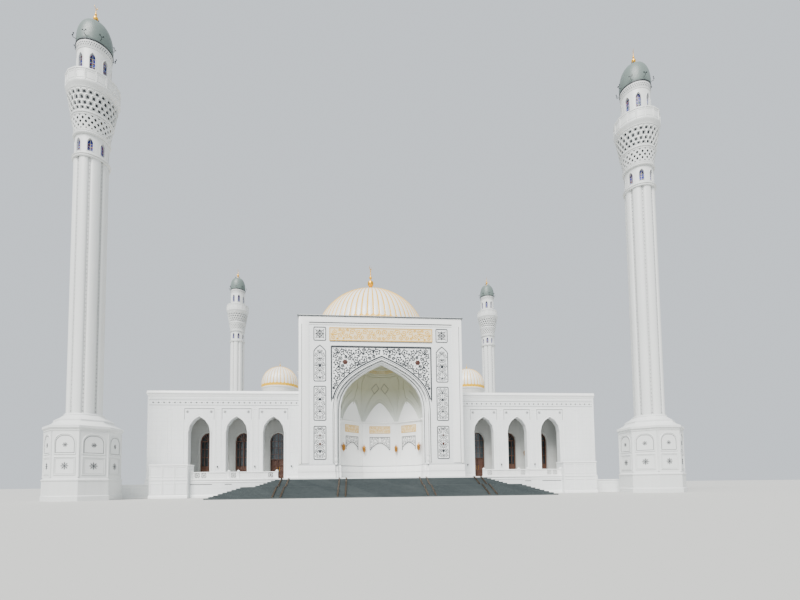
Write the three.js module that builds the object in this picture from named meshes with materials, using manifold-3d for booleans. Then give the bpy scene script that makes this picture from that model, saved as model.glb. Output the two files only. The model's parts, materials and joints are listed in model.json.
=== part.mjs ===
import * as THREE from 'three';
import { mergeVertices } from 'three/addons/utils/BufferGeometryUtils.js';
import Module from 'manifold-3d';

// A domed mosque at 1:10. A square prayer hall stands on a raised terrace with an arched
// gallery round it, a tall portal with a half-domed niche in front, a ribbed middle dome,
// four small domes and four corner minarets. Millimetres, +Z up, the portal faces -Y, and
// the origin is on the ground under the middle of the main dome.

const gap = 0.3; // open joint between pieces that touch
const quarter = Math.PI / 2;

const terrace = {
  half: 3400, top: 240, core: 3135, frontHalf: 2935, sideHalf: 2470, landingHalf: 1340, landingReach: 100,
};
const cornerBlock = { inner: 2470, front: -3470, back: -3250, top: 430 };
const linkWall = { thick: 60, top: 180, root: 4300 };
const stair = { rise: 15, tread: 40, lowerTreads: 9, upperTreads: 6, restDepth: 145 };
const rail = {
  inset: 15, thick: 16, lift: 2, height: 92, postSide: 28, postHeight: 118, start: 1365, frontPosts: [1867, 1988],
  spans: 5,
};
const bay = { step: 490, halfWidth: 140, spring: 880, apex: 1090 };
const gallery = { half: 3120, thick: 100, top: 1440 };
const hall = { half: 2740, thick: 70, top: 1330 };
const opening = { halfWidth: 110, sill: 330, spring: 790, apex: 912, doorBay: 3 };
const frame = { width: 8, depth: 18, headHeight: 8, head: 520 };
const leaf = { thick: 6, clear: 5, hingeInset: 8, pinRadius: 2.4 };
const glass = { thick: 3, overlap: 20 };
const roof = { thick: 50, hole: 1250 };
const portal = { half: 1095, front: -3430, back: -2530, top: 2390, wall: 100 };
const portalLayers = [
  { depth: 30, halfWidth: 630, spring: 1050, apex: 1812, bow: 2.9 },
  { depth: 30, halfWidth: 595, spring: 1050, apex: 1785, bow: 2.9 },
  { depth: 60, halfWidth: 558, spring: 1050, apex: 1768, bow: 2.9 },
];
const niche = { half: 558, centreHalf: 247, straight: 150, depth: 460, wall: 45, top: 1060, shell: 35 };
const blind = { halfWidth: 165, recess: 6, sill: 420, spring: 540, apex: 750 };
const block = { half: 1340, wall: 80, top: 2150, slab: 50 };
const turret = { radius: 75, shaft: 220, offset: 1255, dome: 125 };
const drum = { radius: 1215, wall: 70, top: 2960, cornice: 35, corniceHeight: 50 };
const dome = { radius: 1170, centre: 3000, crown: 4195, base: 2990, shell: 45, spike: 604 };
const smallDome = { offset: 1620, radius: 300, drumRadius: 285, drumTop: 1790, centre: 1850, crown: 2160 };
const minaret = { offset: 3630, apothem: 380, plinth: 240, pedestalTop: 860, taperTop: 1000 };
const shaft = { radius: 190, valley: 172, lobes: 8, top: 4180, ring: 205 };
const tower = {
  windowBase: 4225, windowTop: 4455, windowRadius: 180, ring: 4510,
  latticeTop: 4695, latticeRadius: 224, flareTop: 5000, flareRadius: 270,
  walkway: 5055, parapetTop: 5218, parapetRadius: 292, parapetWall: 12, parapetSides: 16,
};
const towerWindow = { halfWidth: 30, sill: 4250, spring: 4355, apex: 4415, face: 150 };
const lantern = { radius: 186, top: 5600, cornice: 198, corniceTop: 5660 };
const lanternWindow = { halfWidth: 32, sill: 5300, spring: 5440, apex: 5510, face: 156 };
const cap = { radius: 202, top: 6053, finial: 265 };

const white = { color: 0xeef0ef, roughness: 0.55, metalness: 0 };
const paleWhite = { color: 0xf2f1ec, roughness: 0.5, metalness: 0 };
const greyStone = { color: 0x6c7377, roughness: 0.6, metalness: 0 };
const gold = { color: 0xe0a93a, roughness: 0.3, metalness: 0.9 };
const brown = { color: 0x4a2a1e, roughness: 0.45, metalness: 0 };
const darkGlass = { color: 0x3b4448, roughness: 0.1, metalness: 0 };

const wasm = await Module();
wasm.setup();
const model = new THREE.Group();

// A closed geometry becomes a solid that can be joined and cut.
function solid(geometry) {
  const bare = geometry.clone();
  bare.deleteAttribute('normal');
  bare.deleteAttribute('uv');
  const merged = mergeVertices(bare, 1e-3);
  return new wasm.Manifold(new wasm.Mesh({
    numProp: 3,
    vertProperties: new Float32Array(merged.attributes.position.array),
    triVerts: new Uint32Array(merged.index.array),
  }));
}

function geometryOf(body) {
  const mesh = body.getMesh();
  const geometry = new THREE.BufferGeometry();
  geometry.setAttribute('position', new THREE.BufferAttribute(mesh.vertProperties, 3));
  geometry.setIndex(new THREE.BufferAttribute(mesh.triVerts, 1));
  geometry.computeVertexNormals();
  return geometry;
}

function join(geometries) {
  return geometries.map(solid).reduce((sum, next) => sum.add(next));
}

function place(name, geometry, finish, at = [0, 0, 0], turn = 0) {
  const mesh = new THREE.Mesh(geometry, new THREE.MeshStandardMaterial(finish));
  mesh.name = name;
  mesh.position.set(...at);
  mesh.rotation.z = turn;
  model.add(mesh);
}

function box(x, y, z) {
  const geometry = new THREE.BoxGeometry(x[1] - x[0], y[1] - y[0], z[1] - z[0]);
  return geometry.translate((x[0] + x[1]) / 2, (y[0] + y[1]) / 2, (z[0] + z[1]) / 2);
}

function outline(points) {
  return points.map(([x, y]) => new THREE.Vector2(x, y));
}

// An outline in plan, raised from one height to another.
function raised(points, bottom, top) {
  const shape = new THREE.Shape(outline(points));
  const geometry = new THREE.ExtrudeGeometry(shape, { depth: top - bottom, bevelEnabled: false });
  return geometry.translate(0, 0, bottom);
}

// An outline in elevation (across, up), as a wall from a front plane to a back plane.
function wall(points, front, back) {
  return raised(points, 0, back - front).rotateX(quarter).translate(0, back, 0);
}

function cut(geometry, cutters) {
  return geometryOf(cutters.map(solid).reduce((rest, cutter) => rest.subtract(cutter), solid(geometry)));
}

function regular(sides, apothem, turn = 0) {
  const radius = apothem / Math.cos(Math.PI / sides);
  return Array.from({ length: sides }, (_, i) => {
    const angle = turn + (2 * Math.PI * (i + 0.5)) / sides;
    return [radius * Math.cos(angle), radius * Math.sin(angle)];
  });
}

// A profile of [radius, height] pairs turned about the vertical axis.
function turned(profile, sides) {
  return new THREE.LatheGeometry(outline(profile), sides).rotateX(quarter).rotateZ(Math.PI / sides);
}

// Half the width of the portal's arch at a height: full haunches that run up nearly straight
// to the apex. The half width shrinks by a power, `bow`, of the share of the rise.
function bowedHalfWidth({ halfWidth, spring, apex, bow }, height) {
  const share = Math.min(1, Math.max(0, (height - spring) / (apex - spring)));
  return halfWidth * (1 - share ** bow);
}

// The right half of a pointed arch from its springing up. A plain arch is two arcs whose
// centres lie on the springing line, each beyond the middle by the distance that makes them
// meet at the apex.
function archFlank(arch, steps) {
  const { halfWidth, spring, apex, bow } = arch;
  const rise = apex - spring;
  if (bow) {
    return Array.from({ length: steps }, (_, i) => {
      const height = spring + rise * (i / steps) ** 0.75;
      return [bowedHalfWidth(arch, height), height];
    });
  }
  const beyond = (rise * rise - halfWidth * halfWidth) / (2 * halfWidth);
  const sweep = Math.atan2(rise, beyond);
  return Array.from({ length: steps }, (_, i) => {
    const angle = (sweep * i) / steps;
    const reach = (halfWidth + beyond) * Math.cos(angle) - beyond;
    return [reach, spring + (halfWidth + beyond) * Math.sin(angle)];
  });
}

// Points of an arch from the right springing over the apex to the left one.
function archPoints(arch, centre = 0, steps = 4) {
  const { apex } = arch;
  const right = archFlank(arch, steps);
  const left = right.map(([reach, up]) => [-reach, up]).reverse();
  return [...right, [0, apex], ...left].map(([reach, up]) => [centre + reach, up]);
}

// A wall outline from a floor line to a top, with arched doorways that reach the floor.
function wallOutline(from, to, bottom, top, arches) {
  const points = [[from, bottom]];
  for (const { arch, centre, steps } of arches) {
    points.push([centre - arch.halfWidth, bottom]);
    points.push(...archPoints(arch, centre, steps).reverse());
    points.push([centre + arch.halfWidth, bottom]);
  }
  points.push([to, bottom], [to, top], [from, top]);
  return points;
}

function windowOutline(arch, centre, steps) {
  const { halfWidth, sill } = arch;
  return [[centre - halfWidth, sill], [centre + halfWidth, sill], ...archPoints(arch, centre, steps)];
}

// Rings of points at rising heights, joined by sides and closed by a fan at each end.
function loft(rings) {
  const count = rings[0].length;
  const positions = rings.flat(2);
  const faces = [];
  for (let level = 0; level < rings.length - 1; level += 1) {
    for (let i = 0; i < count; i += 1) {
      const next = (i + 1) % count;
      const [a, b] = [level * count + i, level * count + next];
      faces.push(a, b, b + count, a, b + count, a + count);
    }
  }
  const last = (rings.length - 1) * count;
  for (let i = 1; i < count - 1; i += 1) {
    faces.push(0, i + 1, i, last, last + i, last + i + 1);
  }
  const geometry = new THREE.BufferGeometry();
  geometry.setAttribute('position', new THREE.Float32BufferAttribute(positions, 3));
  geometry.setIndex(faces);
  return geometry;
}

const floor = terrace.top + gap;
const roofTop = hall.top + gap + roof.thick;
const landingFront = -terrace.half - terrace.landingReach;

// A square core under the arcade, with a broad step out on each side and the landing in front.
function terraceOutline() {
  const { half, core, frontHalf, sideHalf, landingHalf } = terrace;
  const right = [
    [landingHalf, landingFront], [landingHalf, -half], [frontHalf, -half], [frontHalf, -core], [core, -core],
    [core, -sideHalf], [half, -sideHalf], [half, sideHalf], [core, sideHalf], [core, core],
    [sideHalf, core], [sideHalf, half],
  ];
  return [...right, ...right.map(([x, y]) => [-x, y]).reverse()];
}

// One tread of the stair: it wraps round the landing on three sides, `reach` beyond it.
function treadOutline(reach) {
  const inner = terrace.landingHalf + gap;
  const outer = terrace.landingHalf + reach;
  const wallFace = -terrace.half - gap;
  return [
    [-outer, wallFace], [-outer, landingFront - reach], [outer, landingFront - reach], [outer, wallFace],
    [inner, wallFace], [inner, landingFront - gap], [-inner, landingFront - gap], [-inner, wallFace],
  ];
}

// A flight stacks treads that grow shorter as they rise.
function flight(firstReach, count, bottom) {
  const slabs = Array.from({ length: count }, (_, i) => {
    const reach = firstReach - i * stair.tread;
    return raised(treadOutline(reach), bottom + i * stair.rise - (i ? 1 : 0), bottom + (i + 1) * stair.rise);
  });
  return geometryOf(join(slabs));
}

// The terrace carries a solid block at each end of its front, and a low wall runs out from
// each corner to the flat diagonal face of the minaret's pedestal.
function makeTerrace() {
  const parts = [raised(terraceOutline(), 0, terrace.top)];
  const { inner, front, back, top } = cornerBlock;
  const tip = minaret.offset * Math.SQRT2 - minaret.apothem - gap;
  const side = linkWall.thick / 2;
  parts.push(box([inner, terrace.frontHalf], [front, back], [0, top]));
  parts.push(box([-terrace.frontHalf, -inner], [front, back], [0, top]));
  for (let i = 0; i < 4; i += 1) {
    const arm = box([linkWall.root, tip], [-side, side], [0, linkWall.top]);
    parts.push(arm.rotateZ(Math.PI / 4 + i * quarter));
  }
  place('terrace', geometryOf(join(parts)), white);
  const restHeight = stair.lowerTreads * stair.rise;
  const upperReach = stair.upperTreads * stair.tread;
  const lowerReach = upperReach + stair.restDepth + (stair.lowerTreads - 1) * stair.tread;
  place('stair_lower', flight(lowerReach, stair.lowerTreads, 0), greyStone);
  place('stair_upper', flight(upperReach, stair.upperTreads, restHeight + gap), greyStone);
}

const railLine = -terrace.half + rail.inset;

function railPanel(x, y) {
  return box(x, y, [floor + rail.lift, floor + rail.height]);
}

function railPost(x, y) {
  const side = rail.postSide / 2;
  return box([x - side, x + side], [y - side, y + side], [floor, floor + rail.postHeight]);
}

// A length of balustrade along X: a solid rail, just off the floor, between square posts.
function balustrade(from, to, posts) {
  const face = rail.thick / 2;
  return [railPanel([from, to], [railLine - face, railLine + face]), ...posts.map((at) => railPost(at, railLine))];
}

// The balustrade of a side that turns back at both ends to the arcade.
function returnedBalustrade() {
  const face = rail.thick / 2;
  const end = terrace.sideHalf - rail.inset;
  const last = -gallery.half - gap - rail.postSide / 2;
  const parts = balustrade(-end, end, evenly(-end, end, rail.spans + 1));
  for (const at of [-end, end]) {
    parts.push(railPanel([at - face, at + face], [railLine, last]), railPost(at, last));
  }
  return geometryOf(join(parts));
}

function evenly(from, to, count) {
  return Array.from({ length: count }, (_, i) => from + ((to - from) * i) / (count - 1));
}

function makeBalustrades() {
  const side = rail.postSide / 2;
  const [near, far] = [rail.start, cornerBlock.inner - gap];
  const posts = [near + side, ...rail.frontPosts, far - side];
  place('balustrade_front_right', geometryOf(join(balustrade(near, far, posts))), white);
  place('balustrade_front_left', geometryOf(join(balustrade(-far, -near, posts.map((x) => -x)))), white);
  for (const [name, turn] of [['right', quarter], ['back', 2 * quarter], ['left', -quarter]]) {
    place(`balustrade_${name}`, returnedBalustrade(), white, [0, 0, 0], turn);
  }
}

const bays = Array.from({ length: 11 }, (_, i) => (i - 5) * bay.step);
const frontBays = bays.filter((at) => at > portal.half);

function galleryWall(from, to, centres) {
  const arches = centres.map((centre) => ({ arch: bay, centre, steps: 3 }));
  const front = -gallery.half;
  return wall(wallOutline(from, to, floor, gallery.top, arches), front, front + gallery.thick);
}

function makeGallery() {
  const inside = gallery.half - gallery.thick - gap;
  const beside = portal.half + gap;
  place('gallery_front_right', galleryWall(beside, gallery.half, frontBays), white);
  const leftBays = frontBays.map((at) => -at).reverse();
  place('gallery_front_left', galleryWall(-gallery.half, -beside, leftBays), white);
  place('gallery_back', galleryWall(-gallery.half, gallery.half, bays), white, [0, 0, 0], 2 * quarter);
  place('gallery_right', galleryWall(-inside, inside, bays), white, [0, 0, 0], quarter);
  place('gallery_left', galleryWall(-inside, inside, bays), white, [0, 0, 0], -quarter);
}

function hallWall(from, to, windows, doors = []) {
  const doorArch = { ...opening, sill: floor };
  const arches = doors.map((centre) => ({ arch: doorArch, centre, steps: 4 }));
  const [front, back] = [-hall.half, -hall.half + hall.thick];
  const holes = windows.map((centre) => wall(windowOutline(opening, centre, 3), front - 1, back + 1));
  return cut(wall(wallOutline(from, to, floor, hall.top, arches), front, back), holes);
}

function glassSheet(from, to) {
  const face = -hall.half + hall.thick + gap;
  return box([from, to], [face, face + glass.thick], [opening.sill - glass.overlap, opening.apex + glass.overlap]);
}

function makeHall() {
  const inside = hall.half - hall.thick - gap;
  const beside = portal.half + gap;
  const door = bay.step * opening.doorBay;
  const windows = frontBays.filter((at) => at !== door);
  const leftWindows = windows.map((at) => -at).reverse();
  place('hall_front_right', hallWall(beside, hall.half, windows, [door]), white);
  place('hall_front_left', hallWall(-hall.half, -beside, leftWindows, [-door]), white);
  place('hall_back', hallWall(-hall.half, hall.half, bays), white, [0, 0, 0], 2 * quarter);
  place('hall_right', hallWall(-inside, inside, bays), white, [0, 0, 0], quarter);
  place('hall_left', hallWall(-inside, inside, bays), white, [0, 0, 0], -quarter);
  const margin = opening.halfWidth + glass.overlap;
  const [near, far] = [windows[0] - margin, windows[windows.length - 1] + margin];
  const reach = bays[bays.length - 1] + margin;
  place('glass_front_right', glassSheet(near, far), darkGlass);
  place('glass_front_left', glassSheet(-far, -near), darkGlass);
  place('glass_back', glassSheet(-reach, reach), darkGlass, [0, 0, 0], 2 * quarter);
  place('glass_right', glassSheet(-reach, reach), darkGlass, [0, 0, 0], quarter);
  place('glass_left', glassSheet(-reach, reach), darkGlass, [0, 0, 0], -quarter);
}

const doorLine = -hall.half + hall.thick / 2;
const hingeReach = opening.halfWidth - gap - frame.width - leaf.hingeInset;

// The arched joinery of an entrance: jambs, a head over the leaves and the arch above it.
function doorFrame() {
  const outer = { ...opening, halfWidth: opening.halfWidth - gap, apex: opening.apex - gap };
  const inner = { ...outer, halfWidth: outer.halfWidth - frame.width, apex: outer.apex - frame.width };
  const { halfWidth } = inner;
  const points = [
    [-outer.halfWidth, floor], [-halfWidth, floor], [-halfWidth, frame.head], [halfWidth, frame.head],
    [halfWidth, floor], [outer.halfWidth, floor], ...archPoints(outer, 0, 4),
  ];
  const light = windowOutline({ ...inner, sill: frame.head + frame.headHeight }, 0, 4);
  const [front, back] = [doorLine - frame.depth / 2, doorLine + frame.depth / 2];
  return cut(wall(points, front, back), [wall(light, front - 1, back + 1)]);
}

// A door leaf that hangs on pins at its top and bottom, drawn from its hinge towards +X.
function doorLeaf() {
  const half = leaf.thick / 2;
  const [bottom, top] = [floor + leaf.clear, frame.head - leaf.clear];
  const width = hingeReach - leaf.clear / 2;
  const panel = box([-leaf.pinRadius, width], [-half, half], [bottom, top]);
  const pin = raised(regular(8, leaf.pinRadius), floor + gap, frame.head - gap);
  return geometryOf(join([panel, pin]));
}

function makeDoors() {
  for (const [side, sign] of [['right', 1], ['left', -1]]) {
    const centre = sign * bay.step * opening.doorBay;
    place(`door_frame_${side}`, doorFrame(), brown, [centre, 0, 0]);
    place(`door_${side}_leaf_west`, doorLeaf(), brown, [centre - hingeReach, doorLine, 0]);
    place(`door_${side}_leaf_east`, doorLeaf(), brown, [centre + hingeReach, doorLine, 0], Math.PI);
  }
}

// The roof lies inside the gallery's parapet, round the dome's block and behind the portal.
function makeRoof() {
  const out = gallery.half - gallery.thick - gap;
  const beside = portal.half + gap;
  const behind = portal.back + gap;
  const { hole } = roof;
  const points = [
    [-out, -out], [-beside, -out], [-beside, behind], [beside, behind],
    [beside, -out], [out, -out], [out, out], [-out, out],
  ];
  const bottom = hall.top + gap;
  const light = box([-hole, hole], [-hole, hole], [bottom - 1, roofTop + 1]);
  place('roof', cut(raised(points, bottom, roofTop), [light]), paleWhite);
}

function makePortal() {
  const { half, front, back, top, wall: thick } = portal;
  let face = front;
  const layers = portalLayers.map((layer, i) => {
    const arches = [{ arch: layer, centre: 0, steps: 7 }];
    const geometry = wall(wallOutline(-half, half, floor, top, arches), face - (i ? 1 : 0), face + layer.depth);
    face += layer.depth;
    return geometry;
  });
  place('portal_front', geometryOf(join(layers)), white);
  const inside = face + gap;
  const sides = [
    box([-half, -half + thick], [inside, back], [floor, top]),
    box([half - thick, half], [inside, back], [floor, top]),
    box([-half + 1, half - 1], [back - thick, back], [floor, top]),
    box([-half + 1, half - 1], [inside, back - 1], [top - thick / 2, top]),
  ];
  place('portal_body', geometryOf(join(sides)), white);
  return inside;
}

// Plan of the niche behind the arch, from the right jamb round to the left one.
function nichePlan(offset) {
  const { half, centreHalf, straight, depth } = niche;
  const bend = offset * Math.tan(Math.PI / 8);
  return [
    [half + offset, 0], [half + offset, straight + bend], [centreHalf + bend, depth + offset],
    [-centreHalf - bend, depth + offset], [-half - offset, straight + bend], [-half - offset, 0],
  ];
}

function nicheWalls(face) {
  const shift = (points, extra) => points.map(([x, y], i, all) => {
    const end = i === 0 || i === all.length - 1;
    return [x, face + y + (end ? extra : 0)];
  });
  const inner = shift(nichePlan(0), 0);
  const outer = shift(nichePlan(niche.wall), 0).reverse();
  let body = solid(raised([...inner, ...outer].reverse(), floor, niche.top));
  const panel = () => wall(windowOutline(blind, 0, 4), -blind.recess, blind.recess);
  const { half, centreHalf, straight, depth } = niche;
  const facets = [
    [0, depth, 0],
    [(half + centreHalf) / 2, (straight + depth) / 2, -Math.PI / 4],
    [-(half + centreHalf) / 2, (straight + depth) / 2, Math.PI / 4],
  ];
  for (const [x, y, turn] of facets) {
    body = body.subtract(solid(panel().rotateZ(turn).translate(x, face + y, 0)));
  }
  return geometryOf(body);
}

// The half dome: the plan of the niche shrinks with the arch towards its apex.
function vaultBody(face, offset, bottom) {
  const arch = { ...portalLayers[2] };
  arch.halfWidth += offset;
  arch.apex += offset;
  const levels = 7;
  const rings = Array.from({ length: levels + 1 }, (_, i) => {
    const lift = Math.sin((quarter * i) / levels);
    const height = bottom + (arch.apex - bottom) * (i === levels ? 1 : lift);
    const scale = Math.max(0.03, bowedHalfWidth(arch, height) / arch.halfWidth);
    const plan = nichePlan(offset).map(([x, y]) => [x * scale, face + y * scale, height]);
    if (offset === 0) plan.push([-niche.half * scale, face - 20, height], [niche.half * scale, face - 20, height]);
    return plan;
  });
  return solid(loft(rings));
}

function makeNiche(face) {
  place('niche_walls', nicheWalls(face), paleWhite);
  const outer = vaultBody(face, niche.shell, niche.top + gap);
  const inner = vaultBody(face, 0, niche.top - 1);
  place('niche_vault', geometryOf(outer.subtract(inner)), paleWhite);
}

function makeDomeBlock() {
  const { half, wall: thick, top, slab } = block;
  const bottom = roofTop + gap;
  const inner = half - thick;
  const body = cut(box([-half, half], [-half, half], [bottom, top]), [
    box([-inner, inner], [-inner, inner], [bottom - 1, top - slab]),
    raised(regular(24, drum.radius - drum.wall), top - slab - 1, top + 1),
  ]);
  const parts = [body];
  const { radius, offset, shaft: rise, dome: crown } = turret;
  const profile = [[0, top - 1], [radius, top - 1], [radius * 1.1, top + rise], [radius * 0.95, top + rise + 50],
    [radius * 0.5, top + rise + crown - 15], [0, top + rise + crown]];
  for (const [sx, sy] of [[1, 1], [-1, 1], [-1, -1], [1, -1]]) {
    parts.push(turned(profile, 8).translate(sx * offset, sy * offset, 0));
  }
  place('dome_block', geometryOf(join(parts)), white);
}

// Points on a dome's curve from its base up to its crown: below the widest level it draws in.
function domeCurve({ radius, centre, crown }, base, steps) {
  const start = Math.asin((base - centre) / (crown - centre));
  return Array.from({ length: steps }, (_, i) => {
    const angle = start + ((quarter - start) * i) / steps;
    return [radius * Math.cos(angle), centre + (crown - centre) * Math.sin(angle)];
  });
}

function shellProfile(curve, base, thick, steps) {
  const inner = { ...curve, radius: curve.radius - thick, crown: curve.crown - thick };
  const inside = domeCurve(inner, base, steps - 3);
  return [...domeCurve(curve, base, steps), [0, curve.crown], [0, inner.crown], ...inside.reverse()];
}

// A gilded spike: a collar, a large ball, a stem and a crescent turned almost edge-on to the front.
function finial(bottom, height) {
  const r = height * 0.085;
  const at = (share) => bottom + height * share;
  const profile = [[0, at(0)], [r, at(0)], [r * 0.5, at(0.21)], [r * 1.24, at(0.3)], [r * 1.24, at(0.35)],
    [r * 0.4, at(0.45)], [r * 0.22, at(0.82)], [0, at(0.84)]];
  const big = height * 0.09;
  const arc = (radius, rise, count, from, to) => Array.from({ length: count }, (_, i) => {
    const angle = from + ((to - from) * i) / (count - 1);
    return [radius * Math.sin(angle), at(1) - big + rise - radius * Math.cos(angle)];
  });
  const outer = arc(big, 0, 7, -2.2, 2.2);
  const inner = arc(big * 0.72, big * 0.24, 5, 1.9, -1.9);
  const moon = wall([...outer, ...inner], -r * 0.25, r * 0.25).rotateZ(1.13);
  return [turned(profile, 6), moon];
}

function makeMainDome() {
  const bottom = block.top + gap;
  const { radius, wall: thick, top, cornice, corniceHeight } = drum;
  const ring = [[radius - thick, bottom], [radius, bottom], [radius, top - corniceHeight],
    [radius + cornice, top - corniceHeight / 2], [radius + cornice, top], [radius - thick, top], [radius - thick, bottom]];
  place('dome_drum', turned(ring, 24), white);
  const seat = top + gap;
  const foot = dome.radius - dome.shell - 15;
  const lip = dome.radius + 18;
  const profile = [[foot, seat], [lip, seat], [lip, dome.base], ...shellProfile(dome, dome.base, dome.shell, 7), [foot, seat]];
  place('main_dome', turned(profile, 24), white);
  place('main_finial', geometryOf(join(finial(dome.crown + gap, dome.spike))), gold);
}

function makeSmallDomes() {
  const { offset, drumRadius, drumTop, crown } = smallDome;
  const base = roofTop + gap;
  const inner = drumRadius - 30;
  const curve = domeCurve(smallDome, drumTop, 5);
  const profile = [[inner, base], [drumRadius, base], [drumRadius, drumTop - 30], [drumRadius + 22, drumTop - 15],
    ...curve, [0, crown], [0, crown - 30], [inner * 0.75, drumTop + 190], [inner, base]];
  for (const [name, sx, sy] of [['front_left', -1, -1], ['front_right', 1, -1], ['back_right', 1, 1], ['back_left', -1, 1]]) {
    const body = join([turned(profile, 14), ...finial(crown - 3, 110)]);
    place(`small_dome_${name}`, geometryOf(body), gold, [sx * offset, sy * offset, 0]);
  }
}

// A turned body with tall pointed windows let into its eight sides, each down to a flat face
// that stands off the axis by the arch's `face`.
function windowed(profile, arch) {
  let body = solid(turned(profile, 16));
  for (let i = 0; i < 8; i += 1) {
    const cutter = wall(windowOutline(arch, 0, 1), -tower.parapetRadius, -arch.face);
    cutter.rotateZ(((i + 0.5) * Math.PI) / 4);
    body = body.subtract(solid(cutter));
  }
  return body;
}

// The shaft's section: eight round lobes with narrow valleys between them.
function flutedOutline() {
  const { radius, valley, lobes } = shaft;
  return Array.from({ length: lobes * 4 }, (_, i) => {
    const angle = (i * 2 * Math.PI) / (lobes * 4);
    const swell = Math.abs(Math.cos((lobes / 2) * angle));
    const reach = valley + (radius - valley) * swell;
    return [reach * Math.cos(angle - quarter), reach * Math.sin(angle - quarter)];
  });
}

function minaretShaft() {
  const { apothem, plinth, pedestalTop, taperTop } = minaret;
  const ring = (size, height) => regular(8, size).map(([x, y]) => [x, y, height]);
  const pedestal = loft([ring(apothem, 0), ring(apothem, plinth), ring(apothem - 20, plinth + 12),
    ring(apothem - 20, pedestalTop - 40), ring(apothem, pedestalTop), ring(shaft.radius + 15, taperTop)]);
  const column = raised(flutedOutline(), taperTop - 1, shaft.top + 1);
  const collar = [[0, shaft.top], [shaft.radius, shaft.top], [shaft.ring, shaft.top + 20],
    [shaft.radius - 8, tower.windowBase - gap], [0, tower.windowBase - gap]];
  return geometryOf(join([pedestal, column, turned(collar, 16)]));
}

// Window drum, lattice band, flaring corbel and the eight-sided walkway in its parapet.
function minaretGallery() {
  const t = tower;
  const profile = [[0, t.windowBase], [t.windowRadius, t.windowBase], [t.windowRadius, t.windowTop],
    [t.windowRadius + 26, t.windowTop + 20], [t.windowRadius + 4, t.ring], [t.latticeRadius, t.latticeTop - 10],
    [t.latticeRadius - 12, t.latticeTop + 15], [t.flareRadius - 10, t.flareTop], [0, t.flareTop]];
  const drumBody = windowed(profile, towerWindow);
  const step = (size, height) => regular(t.parapetSides, size).map(([x, y]) => [x, y, height]);
  const deck = loft([step(t.flareRadius - 30, t.flareTop - 1), step(t.parapetRadius - 8, t.walkway - 20),
    step(t.parapetRadius, t.walkway), step(t.parapetRadius, t.parapetTop)]);
  const well = raised(regular(t.parapetSides, t.parapetRadius - t.parapetWall), t.walkway, t.parapetTop + 1);
  return geometryOf(drumBody.add(solid(deck).subtract(solid(well))));
}

function minaretLantern() {
  const { radius, top, cornice, corniceTop } = lantern;
  const bottom = tower.walkway + gap;
  const profile = [[0, bottom], [radius, bottom], [radius, top], [cornice, corniceTop], [0, corniceTop]];
  return geometryOf(windowed(profile, lanternWindow));
}

function minaretCap() {
  const bottom = lantern.corniceTop + gap;
  const { radius, top } = cap;
  const profile = [[0, bottom], [radius, bottom], [radius, bottom + 120], [radius * 0.9, bottom + 240],
    [radius * 0.67, top - 53], [radius * 0.35, top - 18], [0, top]];
  return geometryOf(join([turned(profile, 14), ...finial(top - 4, cap.finial)]));
}

function makeMinarets() {
  const corners = [['front_left', -1, -1], ['front_right', 1, -1], ['back_right', 1, 1], ['back_left', -1, 1]];
  const pieces = [['shaft', minaretShaft(), white], ['gallery', minaretGallery(), white],
    ['lantern', minaretLantern(), white], ['cap', minaretCap(), paleWhite]];
  for (const [corner, sx, sy] of corners) {
    const at = [sx * minaret.offset, sy * minaret.offset, 0];
    for (const [part, geometry, finish] of pieces) {
      place(`minaret_${corner}_${part}`, geometry.clone(), finish, at);
    }
  }
}

makeTerrace();
makeBalustrades();
makeGallery();
makeHall();
makeDoors();
makeRoof();
makeNiche(makePortal());
makeDomeBlock();
makeMainDome();
makeSmallDomes();
makeMinarets();

export default model;
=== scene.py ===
import json

import bpy
import numpy as np
from mathutils import Matrix, Vector

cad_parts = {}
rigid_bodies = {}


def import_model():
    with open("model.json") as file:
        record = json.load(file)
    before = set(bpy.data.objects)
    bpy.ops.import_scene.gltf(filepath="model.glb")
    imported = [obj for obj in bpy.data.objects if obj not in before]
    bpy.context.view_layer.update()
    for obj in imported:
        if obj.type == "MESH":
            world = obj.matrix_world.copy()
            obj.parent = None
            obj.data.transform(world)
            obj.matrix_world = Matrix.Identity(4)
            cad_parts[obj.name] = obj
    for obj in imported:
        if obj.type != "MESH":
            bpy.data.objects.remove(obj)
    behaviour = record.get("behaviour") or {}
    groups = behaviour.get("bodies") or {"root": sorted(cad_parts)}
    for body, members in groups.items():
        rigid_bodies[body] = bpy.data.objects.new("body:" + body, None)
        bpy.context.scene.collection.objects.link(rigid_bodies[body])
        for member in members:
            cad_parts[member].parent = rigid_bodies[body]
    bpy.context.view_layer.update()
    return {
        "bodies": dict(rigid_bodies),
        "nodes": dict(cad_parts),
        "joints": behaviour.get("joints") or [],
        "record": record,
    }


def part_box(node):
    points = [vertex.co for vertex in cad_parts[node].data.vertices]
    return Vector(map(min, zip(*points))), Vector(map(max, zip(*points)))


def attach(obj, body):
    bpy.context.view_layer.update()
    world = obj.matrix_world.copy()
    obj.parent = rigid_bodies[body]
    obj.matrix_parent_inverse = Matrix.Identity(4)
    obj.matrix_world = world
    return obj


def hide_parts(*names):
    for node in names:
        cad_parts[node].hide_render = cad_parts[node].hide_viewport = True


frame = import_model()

tau = 2 * np.pi
corners = {"front_left": (-1, -1), "front_right": (1, -1), "back_right": (1, 1), "back_left": (-1, 1)}
sides = {"front": 0.0, "right": tau / 4, "back": tau / 2, "left": -tau / 4}  # turn of each side about the middle

# ---- the camera stands where the photographer stood, in the model's own metres
cameraLook = {
    "place": (-0.3855, -9.4764, 0.1583), "yaw": 0.0937, "pitch": 0.0587, "roll": -0.0119,
    "focal": 458.06, "centre": (396.36, 456.44), "picture": (800, 600), "sensor": 36.0,
}


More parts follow.
